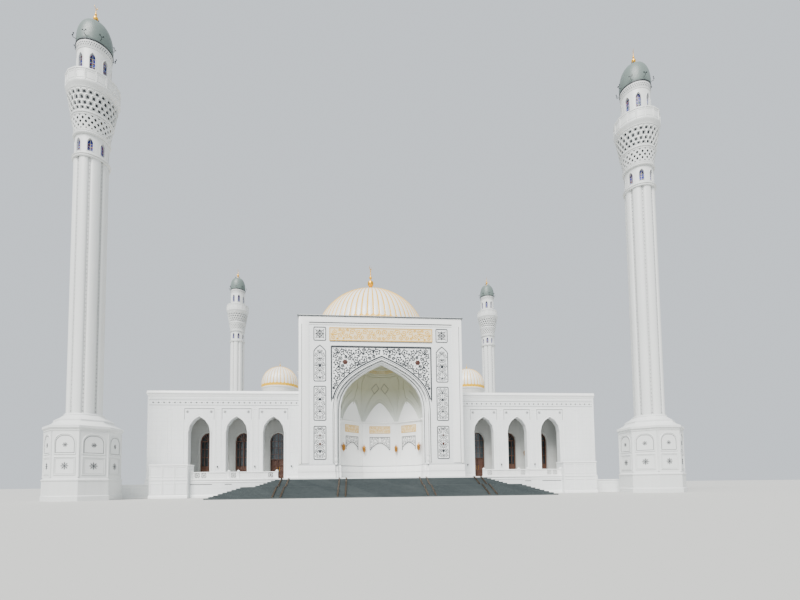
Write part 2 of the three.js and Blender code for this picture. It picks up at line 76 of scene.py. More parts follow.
def makeCamera(look):
    yaw, pitch, roll = look["yaw"], look["pitch"], look["roll"]
    up = np.array([0.0, 0.0, 1.0])
    right = np.array([np.cos(yaw), -np.sin(yaw), 0.0])
    ahead = np.array([np.sin(yaw), np.cos(yaw), 0.0])
    forward = ahead * np.cos(pitch) + up * np.sin(pitch)
    upright = up * np.cos(pitch) - ahead * np.sin(pitch)
    across = right * np.cos(roll) + upright * np.sin(roll)
    top = upright * np.cos(roll) - right * np.sin(roll)
    data = bpy.data.cameras.new("camera")
    wide, high = look["picture"]
    data.sensor_width = look["sensor"]
    data.lens = look["focal"] / wide * look["sensor"]
    data.shift_x = (wide / 2 - look["centre"][0]) / wide
    data.shift_y = (look["centre"][1] - high / 2) / wide
    data.clip_start, data.clip_end = 0.05, 200.0
    camera = bpy.data.objects.new("camera", data)
    turn = Matrix(np.column_stack([across, top, -forward]).tolist()).to_4x4()
    camera.matrix_world = Matrix.Translation(look["place"]) @ turn
    bpy.context.scene.collection.objects.link(camera)
    bpy.context.scene.camera = camera


makeCamera(cameraLook)


# faces of a grid of points: each cell joins (row, column) to the next row and column, and
# a wrapped direction joins its last line to its first
def gridFaces(rows, cols, wrapRows=False, wrapCols=False):
    r = np.arange(rows if wrapRows else rows - 1)[:, None]
    c = np.arange(cols if wrapCols else cols - 1)[None, :]
    nextRow, nextCol = (r + 1) % rows, (c + 1) % cols
    quad = [r * cols + c, r * cols + nextCol, nextRow * cols + nextCol, nextRow * cols + c]
    return np.stack([np.broadcast_to(k, (r.size, c.size)) for k in quad], -1).reshape(-1, 4)


# a profile of (radius, height) turned about the upright axis: x = r cos a, y = r sin a,
# z = h, with r times ripple(a, h) where one is given; a point on the axis is one pole
def turned(profile, count, at=(0.0, 0.0), phase=0.0, ripple=None, ring=False):
    profile = np.asarray(profile, float)
    poles = [not ring and profile[0, 0] < 1e-9, not ring and profile[-1, 0] < 1e-9]
    body = profile[int(poles[0]):len(profile) - int(poles[1])]
    angle = phase + np.arange(count)[None, :] * tau / count
    height = body[:, 1][:, None]
    radius = body[:, 0][:, None] * (ripple(angle, height) if ripple else np.ones_like(angle))
    points = np.stack([at[0] + radius * np.cos(angle), at[1] + radius * np.sin(angle),
                       height + 0 * angle], -1).reshape(-1, 3)
    rows = len(body)
    faces = [gridFaces(rows, count, wrapRows=ring, wrapCols=True)]
    here = np.arange(count)
    after = (here + 1) % count
    for end, pole in enumerate(poles):
        if ring:
            break
        start = 0 if end == 0 else (rows - 1) * count
        if pole:
            tip = np.full(count, len(points))
            points = np.vstack([points, [[at[0], at[1], profile[-end, 1]]]])
            fan = [tip, here + start, after + start] if end else [tip, after + start, here + start]
            faces.append(np.stack(fan, -1))
        else:
            lid = here + start
            faces.append((lid if end else lid[::-1])[None])
    return points, faces


# the way outwards at each point of a path that lies in a plane: the mean of the two
# neighbouring edge normals, lengthened so that a band keeps its width round a corner
def mitred(path, out, closed):
    step = (np.roll(path, -1, 0) - path) if closed else np.diff(path, axis=0)
    step = step / np.linalg.norm(step, axis=1, keepdims=True)
    across = np.cross(step, out[:len(step)])
    before = np.roll(across, 1, 0) if closed else np.vstack([across[:1], across])
    after = across if closed else np.vstack([across, across[-1:]])
    return (before + after) / (1 + np.sum(before * after, axis=1, keepdims=True))


def unit(rows):
    return rows / (np.linalg.norm(rows, axis=1, keepdims=True) + 1e-12)


# a section of (sideways, outwards) points carried along a path: p = path + s side + t out
def carried(path, section, out, closed=False, side=None):
    path = np.asarray(path, float)
    out = np.broadcast_to(np.asarray(out, float), path.shape)
    side = mitred(path, out, closed) if side is None else side
    section = np.asarray(section, float)
    section = np.broadcast_to(section, (len(path),) + section.shape[-2:])
    points = path[:, None] + section[..., :1] * side[:, None] + section[..., 1:] * out[:, None]
    rows, cols = points.shape[:2]
    faces = [gridFaces(rows, cols, wrapRows=closed, wrapCols=True)]
    if not closed:
        rim = np.arange(cols)[None]
        faces += [rim[:, ::-1], rim + (rows - 1) * cols]
    if np.sum(np.cross(side[:-1], out[:-1]) * np.diff(path, axis=0)) < 0:
        faces = [group[:, ::-1] for group in faces]
    return points.reshape(-1, 3), faces


# a path in a plane that faces x: its section's sideways is x
def carriedInPlane(path, section):
    side = np.tile([1.0, 0, 0], (len(path), 1))
    return carried(path, section, unit(np.cross(np.gradient(path, axis=0), side)), side=side)


# a closed skin between an outer and an inner grid of points of the same size
def skin(outer, inner, wrapCols=False):
    rows, cols = outer.shape[:2]
    total = rows * cols
    faces = [gridFaces(rows, cols, wrapCols=wrapCols), gridFaces(rows, cols, wrapCols=wrapCols)[:, ::-1] + total]
    index = np.arange(total).reshape(rows, cols)
    rims = [index[0], index[-1][::-1]]
    if wrapCols:
        rims = [np.append(index[0], index[0, 0]), np.append(index[-1], index[-1, 0])[::-1]]
    else:
        rims += [index[:, 0][::-1], index[:, -1]]
    for rim in rims:
        a, b = rim[:-1], rim[1:]
        faces.append(np.stack([b, a, a + total, b + total], -1))
    return np.vstack([outer.reshape(-1, 3), inner.reshape(-1, 3)]), faces


def block(x, y, z):
    px, py, pz = np.meshgrid(x, y, z, indexing="ij")
    points = np.stack([px.ravel(), py.ravel(), pz.ravel()], -1)
    return points, [np.array([[0, 1, 3, 2], [4, 6, 7, 5], [0, 4, 5, 1], [2, 3, 7, 6], [0, 2, 6, 4], [1, 5, 7, 3]])]


def moved(part, at=(0.0, 0.0, 0.0), turn=0.0):
    points, faces = part
    c, s = np.cos(turn), np.sin(turn)
    return points @ np.array([[c, s, 0], [-s, c, 0], [0, 0, 1]]) + np.asarray(at, float), faces


def movedAll(parts, at=(0.0, 0.0, 0.0), turn=0.0):
    return [moved(part, at, turn) for part in parts]


# parts drawn on a wall that faces -y: stood off by `out` and moved along, then turned
def placed(parts, out=0.0, turn=0.0, x=0.0):
    return [moved((points + [x, -out, 0], faces), turn=turn) for points, faces in parts]


# copies round the upright axis, the first one turned by shift of a step
def around(parts, count, out=0.0, shift=0.0):
    return [part for k in range(count) for part in placed(parts, out, (k + shift) * tau / count)]


def mirrored(part):
    points, faces = part
    return points * np.array([-1.0, 1.0, 1.0]), [group[:, ::-1] for group in faces]


def bothSides(parts):
    return list(parts) + [mirrored(part) for part in parts]


# ornament drawn on a flat wall laid round a turned body: the way along becomes the angle,
# height stays, and what stood off the wall stands off the body's profile
def wrapped(part, profile, reference):
    points, faces = part
    profile = np.asarray(profile, float)
    radius = np.interp(points[:, 2], profile[:, 1], profile[:, 0]) - points[:, 1]
    angle = points[:, 0] / reference - tau / 4
    return np.stack([radius * np.cos(angle), radius * np.sin(angle), points[:, 2]], -1), faces


def makePiece(name, parts, finish, body="building", replaced=(), sharp=35.0):
    loops, sizes, start = [], [], 0
    for points, faces in parts:
        for group in faces:
            loops.append((group + start).ravel())
            sizes.append(np.full(len(group), group.shape[1]))
        start += len(points)
    points = np.concatenate([p for p, _ in parts]).astype(np.float32)
    loops = np.concatenate(loops).astype(np.int32)
    sizes = np.concatenate(sizes)
    mesh = bpy.data.meshes.new(name)
    mesh.vertices.add(len(points))
    mesh.vertices.foreach_set("co", points.ravel())
    mesh.loops.add(len(loops))
    mesh.loops.foreach_set("vertex_index", loops)
    mesh.polygons.add(len(sizes))
    mesh.polygons.foreach_set("loop_start", (np.cumsum(sizes) - sizes).astype(np.int32))
    mesh.update(calc_edges=True)
    mesh.polygons.foreach_set("use_smooth", np.ones(len(sizes), bool))
    mesh.set_sharp_from_angle(angle=np.radians(sharp))
    mesh.materials.append(finishes[finish])
    piece = bpy.data.objects.new(name, mesh)
    bpy.context.scene.collection.objects.link(piece)
    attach(piece, body)
    if replaced:
        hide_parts(*replaced)
    pieceFaces[name] = int(np.sum(sizes - 2))


pieceFaces = {}
front = (0.0, -1.0, 0.0)
upward = (0.0, 0.0, 1.0)


# ---- node helpers: an input is named i and its number, or by its label with _ for a space
def addNode(tree, kind, settings=None, **inputs):
    node = tree.nodes.new(kind)
    for key, value in (settings or {}).items():
        setattr(node, key, value)
    for key, value in inputs.items():
        socket = node.inputs[int(key[1:]) if key[1:].isdigit() else key.replace("_", " ")]
        if isinstance(value, bpy.types.NodeSocket):
            tree.links.new(value, socket)
        else:
            socket.default_value = value
    return node


def mathNode(tree, operation, *values):
    inputs = {"i%d" % index: value for index, value in enumerate(values)}
    return addNode(tree, "ShaderNodeMath", {"operation": operation}, **inputs).outputs[0]


def mixColour(tree, share, first, second):
    return addNode(tree, "ShaderNodeMix", {"data_type": "RGBA"}, i0=share, i6=first, i7=second).outputs[2]


def newGroup(name, inputs, outputs):
    group = bpy.data.node_groups.new(name, "ShaderNodeTree")
    for label, kind, value in inputs:
        socket = group.interface.new_socket(name=label, in_out="INPUT", socket_type=kind)
        if value is not None:
            socket.default_value = value
    for label, kind in outputs:
        group.interface.new_socket(name=label, in_out="OUTPUT", socket_type=kind)
    start = group.nodes.new("NodeGroupInput")
    end = group.nodes.new("NodeGroupOutput")
    return group, start, end


vectorKind, floatKind = "NodeSocketVector", "NodeSocketFloat"


# joints between cladding slabs: running bond on walls, drawn across x + y and up z, with a
# soft tint that changes from slab to slab
def makeSlabJoints():
    group, start, end = newGroup(
        "slabJoints",
        [("Position", vectorKind, None), ("Slab Width", floatKind, 0.09), ("Slab Height", floatKind, 0.06),
         ("Joint", floatKind, 0.0012)],
        [("Joint Mask", floatKind), ("Tint", floatKind)])
    apart = addNode(group, "ShaderNodeSeparateXYZ", i0=start.outputs["Position"])
    along = mathNode(group, "ADD", apart.outputs[0], apart.outputs[1])
    flat = addNode(group, "ShaderNodeCombineXYZ", i0=along, i1=apart.outputs[2])
    brick = addNode(group, "ShaderNodeTexBrick", Vector=flat.outputs[0], Color1=(0, 0, 0, 1), Color2=(1, 1, 1, 1),
                    Mortar=(0.5, 0.5, 0.5, 1), Scale=1.0, Mortar_Size=start.outputs["Joint"], Mortar_Smooth=0.3,
                    Brick_Width=start.outputs["Slab Width"], Row_Height=start.outputs["Slab Height"])
    group.links.new(brick.outputs["Fac"], end.inputs["Joint Mask"])
    group.links.new(brick.outputs["Color"], end.inputs["Tint"])
    return group


# weather: broad cloudy dirt, and fine streaks that run down a wall
def makeWeather():
    group, start, end = newGroup(
        "weather",
        [("Position", vectorKind, None), ("Scale", floatKind, 2.0), ("Streaks", floatKind, 1.0)],
        [("Dirt", floatKind), ("Grain", floatKind)])
    cloud = addNode(group, "ShaderNodeTexNoise", Vector=start.outputs["Position"], Scale=start.outputs["Scale"],
                    Detail=5.0, Roughness=0.6)
    squash = addNode(group, "ShaderNodeVectorMath", {"operation": "MULTIPLY"},
                     i0=start.outputs["Position"], i1=(30.0, 30.0, 2.0))
    streak = addNode(group, "ShaderNodeTexNoise", Vector=squash.outputs[0], Scale=1.0, Detail=3.0)
    fine = addNode(group, "ShaderNodeTexNoise", Vector=start.outputs["Position"], Scale=160.0, Detail=2.0)
    run = mathNode(group, "MULTIPLY", streak.outputs["Fac"], start.outputs["Streaks"])
    both = mathNode(group, "MULTIPLY", cloud.outputs["Fac"], run)
    dirt = addNode(group, "ShaderNodeMapRange", i0=both, i1=0.18, i2=0.55)
    group.links.new(dirt.outputs[0], end.inputs["Dirt"])
    group.links.new(fine.outputs["Fac"], end.inputs["Grain"])
    return group


slabJoints = makeSlabJoints()
weather = makeWeather()


def useGroup(tree, group, **inputs):
    return addNode(tree, "ShaderNodeGroup", {"node_tree": group}, **inputs)


# gloss that follows the grain from one value to another, and a low bump
def linkGrain(tree, shader, grain, rough, bump=0.0, distance=0.0006, height=None, ends=(0.3, 0.7)):
    gloss = addNode(tree, "ShaderNodeMapRange", i0=grain, i1=ends[0], i2=ends[1], i3=rough[0], i4=rough[1])
    tree.links.new(gloss.outputs[0], shader.inputs["Roughness"])
    if bump:
        lift = addNode(tree, "ShaderNodeBump", Strength=bump, Distance=distance, Height=height or grain)
        tree.links.new(lift.outputs[0], shader.inputs["Normal"])


def newMaterial(name, plain=None):
    material = bpy.data.materials.new(name)
    material.use_nodes = True
    tree = material.node_tree
    shader = tree.nodes["Principled BSDF"]
    for key, value in (plain or {}).items():
        shader.inputs[key].default_value = value
    spot = addNode(tree, "ShaderNodeTexCoord").outputs["Object"]
    return material, tree, shader, spot


# stone or plaster: a base colour, a darker tint from slab to slab, dark joints, dirt, and
# a fine grain that breaks the gloss and lifts the surface a little
def stoneFinish(name, look):
    rough = look["rough"]
    plain = {"Roughness": rough, "Specular IOR Level": look.get("specular", 0.5)}
    material, tree, shader, spot = newMaterial(name, plain)
    wear = useGroup(tree, weather, Position=spot, Scale=2.0, Streaks=1.0)
    dirt = mathNode(tree, "MULTIPLY", wear.outputs["Dirt"], look["dirt"])
    colour = mixColour(tree, dirt, look["colour"], look["dirtColour"])
    height = wear.outputs["Grain"]
    if "slab" in look:
        wide, high, joint = look["slab"]
        slabs = useGroup(tree, slabJoints, Position=spot, Slab_Width=wide, Slab_Height=high, Joint=joint)
        shade = mathNode(tree, "MULTIPLY", slabs.outputs["Tint"], look["tint"])
        colour = mixColour(tree, shade, colour, look["dirtColour"])
        share = mathNode(tree, "MULTIPLY", slabs.outputs["Joint Mask"], look["joint"])
        colour = mixColour(tree, share, colour, look["jointColour"])
        sunk = mathNode(tree, "MULTIPLY", slabs.outputs["Joint Mask"], 2.0)
        height = mathNode(tree, "SUBTRACT", height, sunk)
    tree.links.new(colour, shader.inputs["Base Color"])
    linkGrain(tree, shader, wear.outputs["Grain"], (rough - 0.07, rough + 0.07), look["bump"], 0.001, height)
    return material


stoneLooks = {
    "whiteMarble": {"colour": (0.80, 0.82, 0.82, 1), "dirtColour": (0.60, 0.62, 0.61, 1), "dirt": 0.35, "rough": 0.38,
                    "slab": (0.12, 0.06, 0.0012), "tint": 0.10, "joint": 0.35, "jointColour": (0.42, 0.44, 0.44, 1),
                    "bump": 0.25},
    "cleanMarble": {"colour": (0.84, 0.85, 0.84, 1), "dirtColour": (0.66, 0.68, 0.67, 1), "dirt": 0.3,
                    "rough": 0.33, "bump": 0.2},
    # cream over white: painted shade of the notches in which the portal's corner shafts stand
    "creamPaintedShade": {"colour": (0.80, 0.80, 0.74, 1), "dirtColour": (0.62, 0.62, 0.54, 1), "dirt": 0.35,
                    "rough": 0.6, "bump": 0.3},
    "greyInlay": {"colour": (0.022, 0.026, 0.031, 1), "dirtColour": (0.055, 0.06, 0.065, 1), "dirt": 0.4, "rough": 0.5,
                  "specular": 0.2, "bump": 0.15},
    "coping": {"colour": (0.115, 0.13, 0.14, 1), "dirtColour": (0.20, 0.21, 0.21, 1), "dirt": 0.5,
               "rough": 0.45, "bump": 0.3},
    "redInlay": {"colour": (0.06, 0.022, 0.016, 1), "dirtColour": (0.09, 0.04, 0.03, 1), "dirt": 0.4, "rough": 0.45,
                 "specular": 0.25, "bump": 0.15},
    "greyGranite": {"colour": (0.036, 0.046, 0.048, 1), "dirtColour": (0.085, 0.10, 0.10, 1), "dirt": 0.5,
                    "rough": 0.42,
                    "specular": 0.3, "slab": (0.14, 0.3, 0.001), "tint": 0.25, "joint": 0.5,
                    "jointColour": (0.02, 0.022, 0.025, 1), "bump": 0.35},
    "roofSheet": {"colour": (0.50, 0.51, 0.50, 1), "dirtColour": (0.33, 0.33, 0.31, 1), "dirt": 0.7, "rough": 0.8,
                  "slab": (0.30, 0.60, 0.002), "tint": 0.1, "joint": 0.4,
                  "jointColour": (0.28, 0.28, 0.27, 1), "bump": 0.5},
    # the caps' grey-green tile painted darker than its own pale tone: partly the tile's colour, partly painted shade
    "capTileAndPaintedShade": {"colour": (0.135, 0.172, 0.16, 1), "dirtColour": (0.11, 0.14, 0.13, 1), "dirt": 0.4, "rough": 0.38,
                "specular": 0.3,
                "slab": (0.03, 0.02, 0.0006), "tint": 0.12, "joint": 0.3,
                "jointColour": (0.15, 0.18, 0.17, 1), "bump": 0.2},
    "friezeGilt": {"colour": (0.66, 0.36, 0.004, 1), "dirtColour": (0.50, 0.27, 0.006, 1), "dirt": 0.5,
                   "rough": 0.4, "bump": 0.2},
    "domeGilt": {"colour": (0.80, 0.45, 0.008, 1), "dirtColour": (0.66, 0.36, 0.008, 1), "dirt": 0.4,
                 "rough": 0.34, "bump": 0.1},
    "vaultDark": {"colour": (0.20, 0.20, 0.15, 1), "dirtColour": (0.15, 0.15, 0.11, 1), "dirt": 0.5,
                  "rough": 0.55, "bump": 0.2},
    # white marble painted a darker grey: painted shade on the minarets
    "minaretMarble": {"colour": (0.69, 0.705, 0.695, 1), "dirtColour": (0.54, 0.555, 0.545, 1), "dirt": 0.35,
                      "rough": 0.36, "bump": 0.2},
    # white marble painted grey: painted shade of the gallery in front of the hall wall, over the slabs' own joints and
    # tint
    "hallMarble": {"colour": (0.58, 0.59, 0.57, 1), "dirtColour": (0.46, 0.47, 0.45, 1), "dirt": 0.35, "rough": 0.42,
                   "slab": (0.12, 0.06, 0.0012), "tint": 0.10, "joint": 0.35, "jointColour": (0.34, 0.35, 0.34, 1),
                   "bump": 0.25},
    "vaultGilt": {"colour": (0.40, 0.31, 0.12, 1), "dirtColour": (0.30, 0.26, 0.14, 1), "dirt": 0.5,
                  "rough": 0.5, "bump": 0.2},
    "domeWhite": {"colour": (0.80, 0.80, 0.77, 1), "dirtColour": (0.64, 0.63, 0.58, 1), "dirt": 0.3,
                  "rough": 0.28, "bump": 0.1},
    "paleGround": {"colour": (0.80, 0.66, 0.42, 1), "dirtColour": (0.66, 0.52, 0.30, 1), "dirt": 0.4,
                   "rough": 0.4, "bump": 0.2},
}
finishes = {name: stoneFinish(name, look) for name, look in stoneLooks.items()}


# metal: gold leaf or bronze with cloudy gloss and faint rubbed patches
def metalFinish(name, look):
    material, tree, shader, spot = newMaterial(name, {"Metallic": 1.0})
    wear = useGroup(tree, weather, Position=spot, Scale=look["cloud"], Streaks=1.0)
    colour = mixColour(tree, wear.outputs["Dirt"], look["colour"], look["worn"])
    tree.links.new(colour, shader.inputs["Base Color"])
    linkGrain(tree, shader, wear.outputs["Grain"], look["rough"], 0.1)
    return material


metalLooks = {
    "gilding": {"colour": (0.90, 0.48, 0.03, 1), "worn": (0.76, 0.37, 0.02, 1), "cloud": 9.0, "rough": (0.34, 0.48)},
    "bronze": {"colour": (0.075, 0.05, 0.03, 1), "worn": (0.12, 0.085, 0.05, 1), "cloud": 14.0, "rough": (0.4, 0.6)},
    "lampBrass": {"colour": (0.42, 0.20, 0.045, 1), "worn": (0.30, 0.14, 0.03, 1), "cloud": 14.0,
                  "rough": (0.35, 0.5)},
    "darkIron": {"colour": (0.05, 0.055, 0.06, 1), "worn": (0.12, 0.12, 0.12, 1), "cloud": 14.0, "rough": (0.4, 0.6)},
}
finishes.update({name: metalFinish(name, look) for name, look in metalLooks.items()})


# stained joinery: long grain that runs up the wood, under a satin coat
def woodFinish():
    material, tree, shader, spot = newMaterial("brownJoinery", {"Coat Weight": 0.3, "Coat Roughness": 0.2})
    long = addNode(tree, "ShaderNodeVectorMath", {"operation": "MULTIPLY"}, i0=spot, i1=(140.0, 140.0, 6.0))
    grain = addNode(tree, "ShaderNodeTexNoise", Vector=long.outputs[0], Scale=1.0, Detail=4.0, Distortion=0.6)
    wear = useGroup(tree, weather, Position=spot, Scale=5.0, Streaks=0.8)
    colour = mixColour(tree, grain.outputs["Fac"], (0.045, 0.020, 0.012, 1), (0.17, 0.065, 0.035, 1))
    dirt = mathNode(tree, "MULTIPLY", wear.outputs["Dirt"], 0.3)
    tree.links.new(mixColour(tree, dirt, colour, (0.22, 0.15, 0.11, 1)), shader.inputs["Base Color"])
    linkGrain(tree, shader, grain.outputs["Fac"], (0.35, 0.55), 0.3, ends=(0.2, 0.8))
    return material


# dark window glass: near mirror, with a faint unevenness and cooler, lighter patches
def glassFinish():
    material, tree, shader, spot = newMaterial("windowGlass", {"Specular IOR Level": 0.9})
    wear = useGroup(tree, weather, Position=spot, Scale=3.0, Streaks=1.2)
    colour = mixColour(tree, wear.outputs["Dirt"], (0.020, 0.026, 0.030, 1), (0.09, 0.11, 0.12, 1))
    tree.links.new(colour, shader.inputs["Base Color"])
    linkGrain(tree, shader, wear.outputs["Grain"], (0.04, 0.12))
    return material


# coloured panes: small cells of blue, red, amber and green between dark lead lines
def stainedFinish():
    material, tree, shader, spot = newMaterial("stainedGlass", {"Specular IOR Level": 0.35})
    cells = addNode(tree, "ShaderNodeTexVoronoi", Vector=spot, Scale=75.0)
    pick = addNode(tree, "ShaderNodeSeparateColor", i0=cells.outputs["Color"])
    ramp = addNode(tree, "ShaderNodeValToRGB", i0=pick.outputs[0])
    ramp.color_ramp.interpolation = "CONSTANT"
    steps = ramp.color_ramp.elements
    steps[0].color = (0.010, 0.022, 0.26, 1)
    steps[1].position, steps[1].color = 0.45, (0.020, 0.03, 0.42, 1)
    for place, colour in ((0.68, (0.16, 0.012, 0.012)), (0.84, (0.22, 0.10, 0.015)), (0.93, (0.012, 0.10, 0.05))):
        steps.new(place).color = (*colour, 1)
    edge = addNode(tree, "ShaderNodeTexVoronoi", {"feature": "DISTANCE_TO_EDGE"}, Vector=spot, Scale=75.0)
    lead = mathNode(tree, "LESS_THAN", edge.outputs["Distance"], 0.07)
    tree.links.new(mixColour(tree, lead, ramp.outputs[0], (0.02, 0.02, 0.022, 1)), shader.inputs["Base Color"])
    rough = mathNode(tree, "MULTIPLY_ADD", lead, 0.3, 0.22)
    tree.links.new(rough, shader.inputs["Roughness"])
    return material


# the vault is painted with shade: light grey at its foot, darkening to a dark greenish cream under its crown
def vaultFinish():
    material, tree, shader, spot = newMaterial("vaultPlaster", {"Roughness": 0.6})
    apart = addNode(tree, "ShaderNodeSeparateXYZ", i0=spot)
    rise = addNode(tree, "ShaderNodeMapRange", i0=apart.outputs[2], i1=1.10, i2=1.50)
    wear = useGroup(tree, weather, Position=spot, Scale=4.0, Streaks=0.7)
    # painted shade: the ramp by height darkens the plaster towards the crown
    colour = mixColour(tree, rise.outputs[0], (0.60, 0.63, 0.59, 1), (0.33, 0.33, 0.22, 1))
    dirt = mathNode(tree, "MULTIPLY", wear.outputs["Dirt"], 0.3)
    tree.links.new(mixColour(tree, dirt, colour, (0.30, 0.30, 0.22, 1)), shader.inputs["Base Color"])
    linkGrain(tree, shader, wear.outputs["Grain"], (0.5, 0.7), 0.25, 0.001)
    return material


finishes["brownJoinery"] = woodFinish()
finishes["windowGlass"] = glassFinish()
finishes["stainedGlass"] = stainedFinish()
finishes["vaultPlaster"] = vaultFinish()
print("materials made:", len(finishes))


# ---- carried-over CAD nodes get their finishes
nodeFinish = {node: finish for finish, nodes in {
    "whiteMarble": "terrace gallery portal dome_block dome_drum", "cleanMarble": "balustrade niche_walls",
    "hallMarble": "hall", "minaretMarble": "minaret", "greyGranite": "stair", "roofSheet": "roof",
    "vaultPlaster": "niche_vault", "windowGlass": "glass", "brownJoinery": "door",
    "domeWhite": "main_dome small_dome", "gilding": "main_finial"}.items() for node in nodes.split()}
for nodeName, node in frame["nodes"].items():
    chosen = max((key for key in nodeFinish if nodeName.startswith(key)), key=len)
    node.data.materials.clear()
    node.data.materials.append(finishes[nodeFinish[chosen]])
print("CAD nodes dressed:", len(frame["nodes"]))


# ---- drawing on walls: x across, z up, a wall faces -y
# the right half of an arch and its mirror image, with straight legs down to a foot
def bothHalves(right, foot=None):
    line = np.vstack([right, right[-2::-1] * [-1, 1]])
    if foot is None:
        return line
    return np.vstack([[line[0, 0], foot], line, [line[-1, 0], foot]])


# a pointed arch from its right springing over the apex to its left one: two arcs of one
# radius, whose centres lie on the springing line beyond the middle
def archLine(halfWidth, spring, apex, steps=12, foot=None):
    rise = apex - spring
    beyond = (rise ** 2 - halfWidth ** 2) / (2 * halfWidth)
    radius, angle = halfWidth + beyond, np.linspace(0, np.arctan2(rise, beyond), steps + 1)
    right = np.stack([radius * np.cos(angle) - beyond, spring + radius * np.sin(angle)], -1)
    return bothHalves(right, foot)


# the portal's arch: the half width shrinks by a power, bow, of the share of the rise, so the
# haunches stay full and run up nearly straight to the apex
def bowedLine(halfWidth, spring, apex, steps=26, foot=None, bow=2.9):
    share = np.linspace(0, 1, steps) ** 0.8
    right = np.stack([halfWidth * (1 - share ** bow), spring + (apex - spring) * share], -1)
    return bothHalves(right, foot)


def onWall(line, away=0.0):
    line = np.asarray(line, float)
    return np.stack([line[:, 0], np.full(len(line), -away), line[:, 1]], -1)


# sections of a band: (sideways, off the wall) points
def flatBand(half, rise, sink=0.001):
    return [(-half, -sink), (half, -sink), (half, rise), (-half, rise)]


def roundBand(half, rise, sink=0.001):
    shoulder, top = (0.86 * half, 0.55 * rise), (0.45 * half, 0.9 * rise)
    return [(-half, -sink), (half, -sink), shoulder, top, (-top[0], top[1]), (-shoulder[0], shoulder[1])]


def band(line, section, closed=False, away=0.0):
    return carried(onWall(line, away), section, front, closed)


def ringLine(size, count, middle=(0.0, 0.0), phase=0.0):
    angle = phase + np.arange(count) * tau / count
    return np.stack([middle[0] + size * np.cos(angle), middle[1] + size * np.sin(angle)], -1)


def rectBand(left, right, bottom, top, section, bevel=0.0, away=0.0):
    return band(rectLine(left, right, bottom, top, bevel), section, closed=True, away=away)


def archBand(halfWidth, spring, apex, section, steps=8, foot=None):
    return band(archLine(halfWidth, spring, apex, steps, foot=foot), section)


# a section of (out, height) points run straight along a wall
def straightRun(left, right, section, y=0.0):
    return carried([(left, y, 0), (right, y, 0)], [(z, out) for out, z in section], front,
                   side=np.tile(upward, (2, 1)))


def rectLine(left, right, bottom, top, bevel=0.0):
    if not bevel:
        return [(left, bottom), (right, bottom), (right, top), (left, top)]
    return [(left + bevel, bottom), (right - bevel, bottom), (right, bottom + bevel), (right, top - bevel),
            (right - bevel, top), (left + bevel, top), (left, top - bevel), (left, bottom + bevel)]


# a flat plate with a polygon outline, standing off the wall
def plate(line, rise, sink=0.001):
    line = np.asarray(line, float)
    count = len(line)
    points = np.vstack([onWall(line, rise), onWall(line, -sink)])
    here = np.arange(count)
    after = (here + 1) % count
    return points, [here[None], here[None, ::-1] + count, np.stack([after, here, here + count, after + count], -1)]


# faces of many copies whose points follow each other, size points to a copy
def repeatedFaces(groups, count, size):
    offset = (np.arange(count) * size)[:, None, None]
    return [(group[None] + offset).reshape(-1, group.shape[1]) for group in groups]


# leaves: pointed ovals with a raised midrib, many at once. u runs along the leaf, its half
# width is width * (0, .8, 1, .62, 0) at quarters of the length, and the ridge is lifted
def leaves(at, heading, length, width, rise, sink=0.001):
    at = np.asarray(at, float).reshape(-1, 2)
    count = len(at)
    heading, length, width = (np.broadcast_to(np.asarray(v, float), (count,)) for v in (heading, length, width))
    u = np.array([0, 0.25, 0.5, 0.78, 1, 0.78, 0.5, 0.25, 0.25, 0.5, 0.78])
    v = np.array([0, -0.8, -1, -0.62, 0, 0.62, 1, 0.8, 0, 0, 0])
    lift = np.array([0] * 8 + [0.75, 1.0, 0.7])
    ahead = u[None] * length[:, None]
    aside = v[None] * width[:, None]
    c, s = np.cos(heading)[:, None], np.sin(heading)[:, None]
    x = at[:, :1] + ahead * c - aside * s
    z = at[:, 1:] + ahead * s + aside * c
    y = -(lift * (rise + sink) - sink) + 0 * x
    points = np.stack([x, y, z], -1).reshape(-1, 3)
    triangles = np.array([[0, 1, 8], [3, 4, 10], [4, 5, 10], [7, 0, 8]])
    quads = np.array([[1, 2, 9, 8], [2, 3, 10, 9], [5, 6, 9, 10], [6, 7, 8, 9]])
    under = np.arange(8)[None, ::-1]
    return points, repeatedFaces((triangles, quads, under), count, len(u))


# low round bosses, many at once: a ring of points on the wall and a raised ring and tip
def bosses(at, radius, rise, count=8, sink=0.001):
    at = np.asarray(at, float).reshape(-1, 2)
    radius = np.broadcast_to(np.asarray(radius, float), (len(at),))
    angle = np.arange(count) * tau / count
    rings = []
    for share, height in ((1.0, -sink), (0.72, 0.75 * rise), (0.0, rise)):
        size = count if share else 1
        ring = np.stack([at[:, :1] + share * radius[:, None] * np.cos(angle[:size]),
                         np.full((len(at), size), -height),
                         at[:, 1:] + share * radius[:, None] * np.sin(angle[:size])], -1)
        rings.append(ring)
    points = np.concatenate(rings, 1)
    here = np.arange(count)
    after = (here + 1) % count
    wall = np.stack([here, after, after + count, here + count], -1)
    lid = np.stack([here + count, after + count, np.full(count, 2 * count)], -1)
    return points.reshape(-1, 3), repeatedFaces((wall, lid, here[None, ::-1]), len(at), 2 * count + 1)


# circles that fill a shape: of the places with room for a full circle the tightest is
# taken, then the largest room that is left, until only small gaps remain
def packCircles(room, xs, zs, largest, smallest, most=90):
    x, z = np.meshgrid(xs, zs, indexing="ij")
    left = room(x, z)
    found = []
    for _ in range(most):
        score = np.where(left >= largest, 3 * largest - left, left - largest)
        pick = np.unravel_index(np.argmax(score), left.shape)
        size = min(left[pick], largest)
        if size < smallest:
            break
        found.append((x[pick], z[pick], size))
        left = np.minimum(left, np.hypot(x - x[pick], z - z[pick]) - size)
    return np.array(found).reshape(-1, 3)


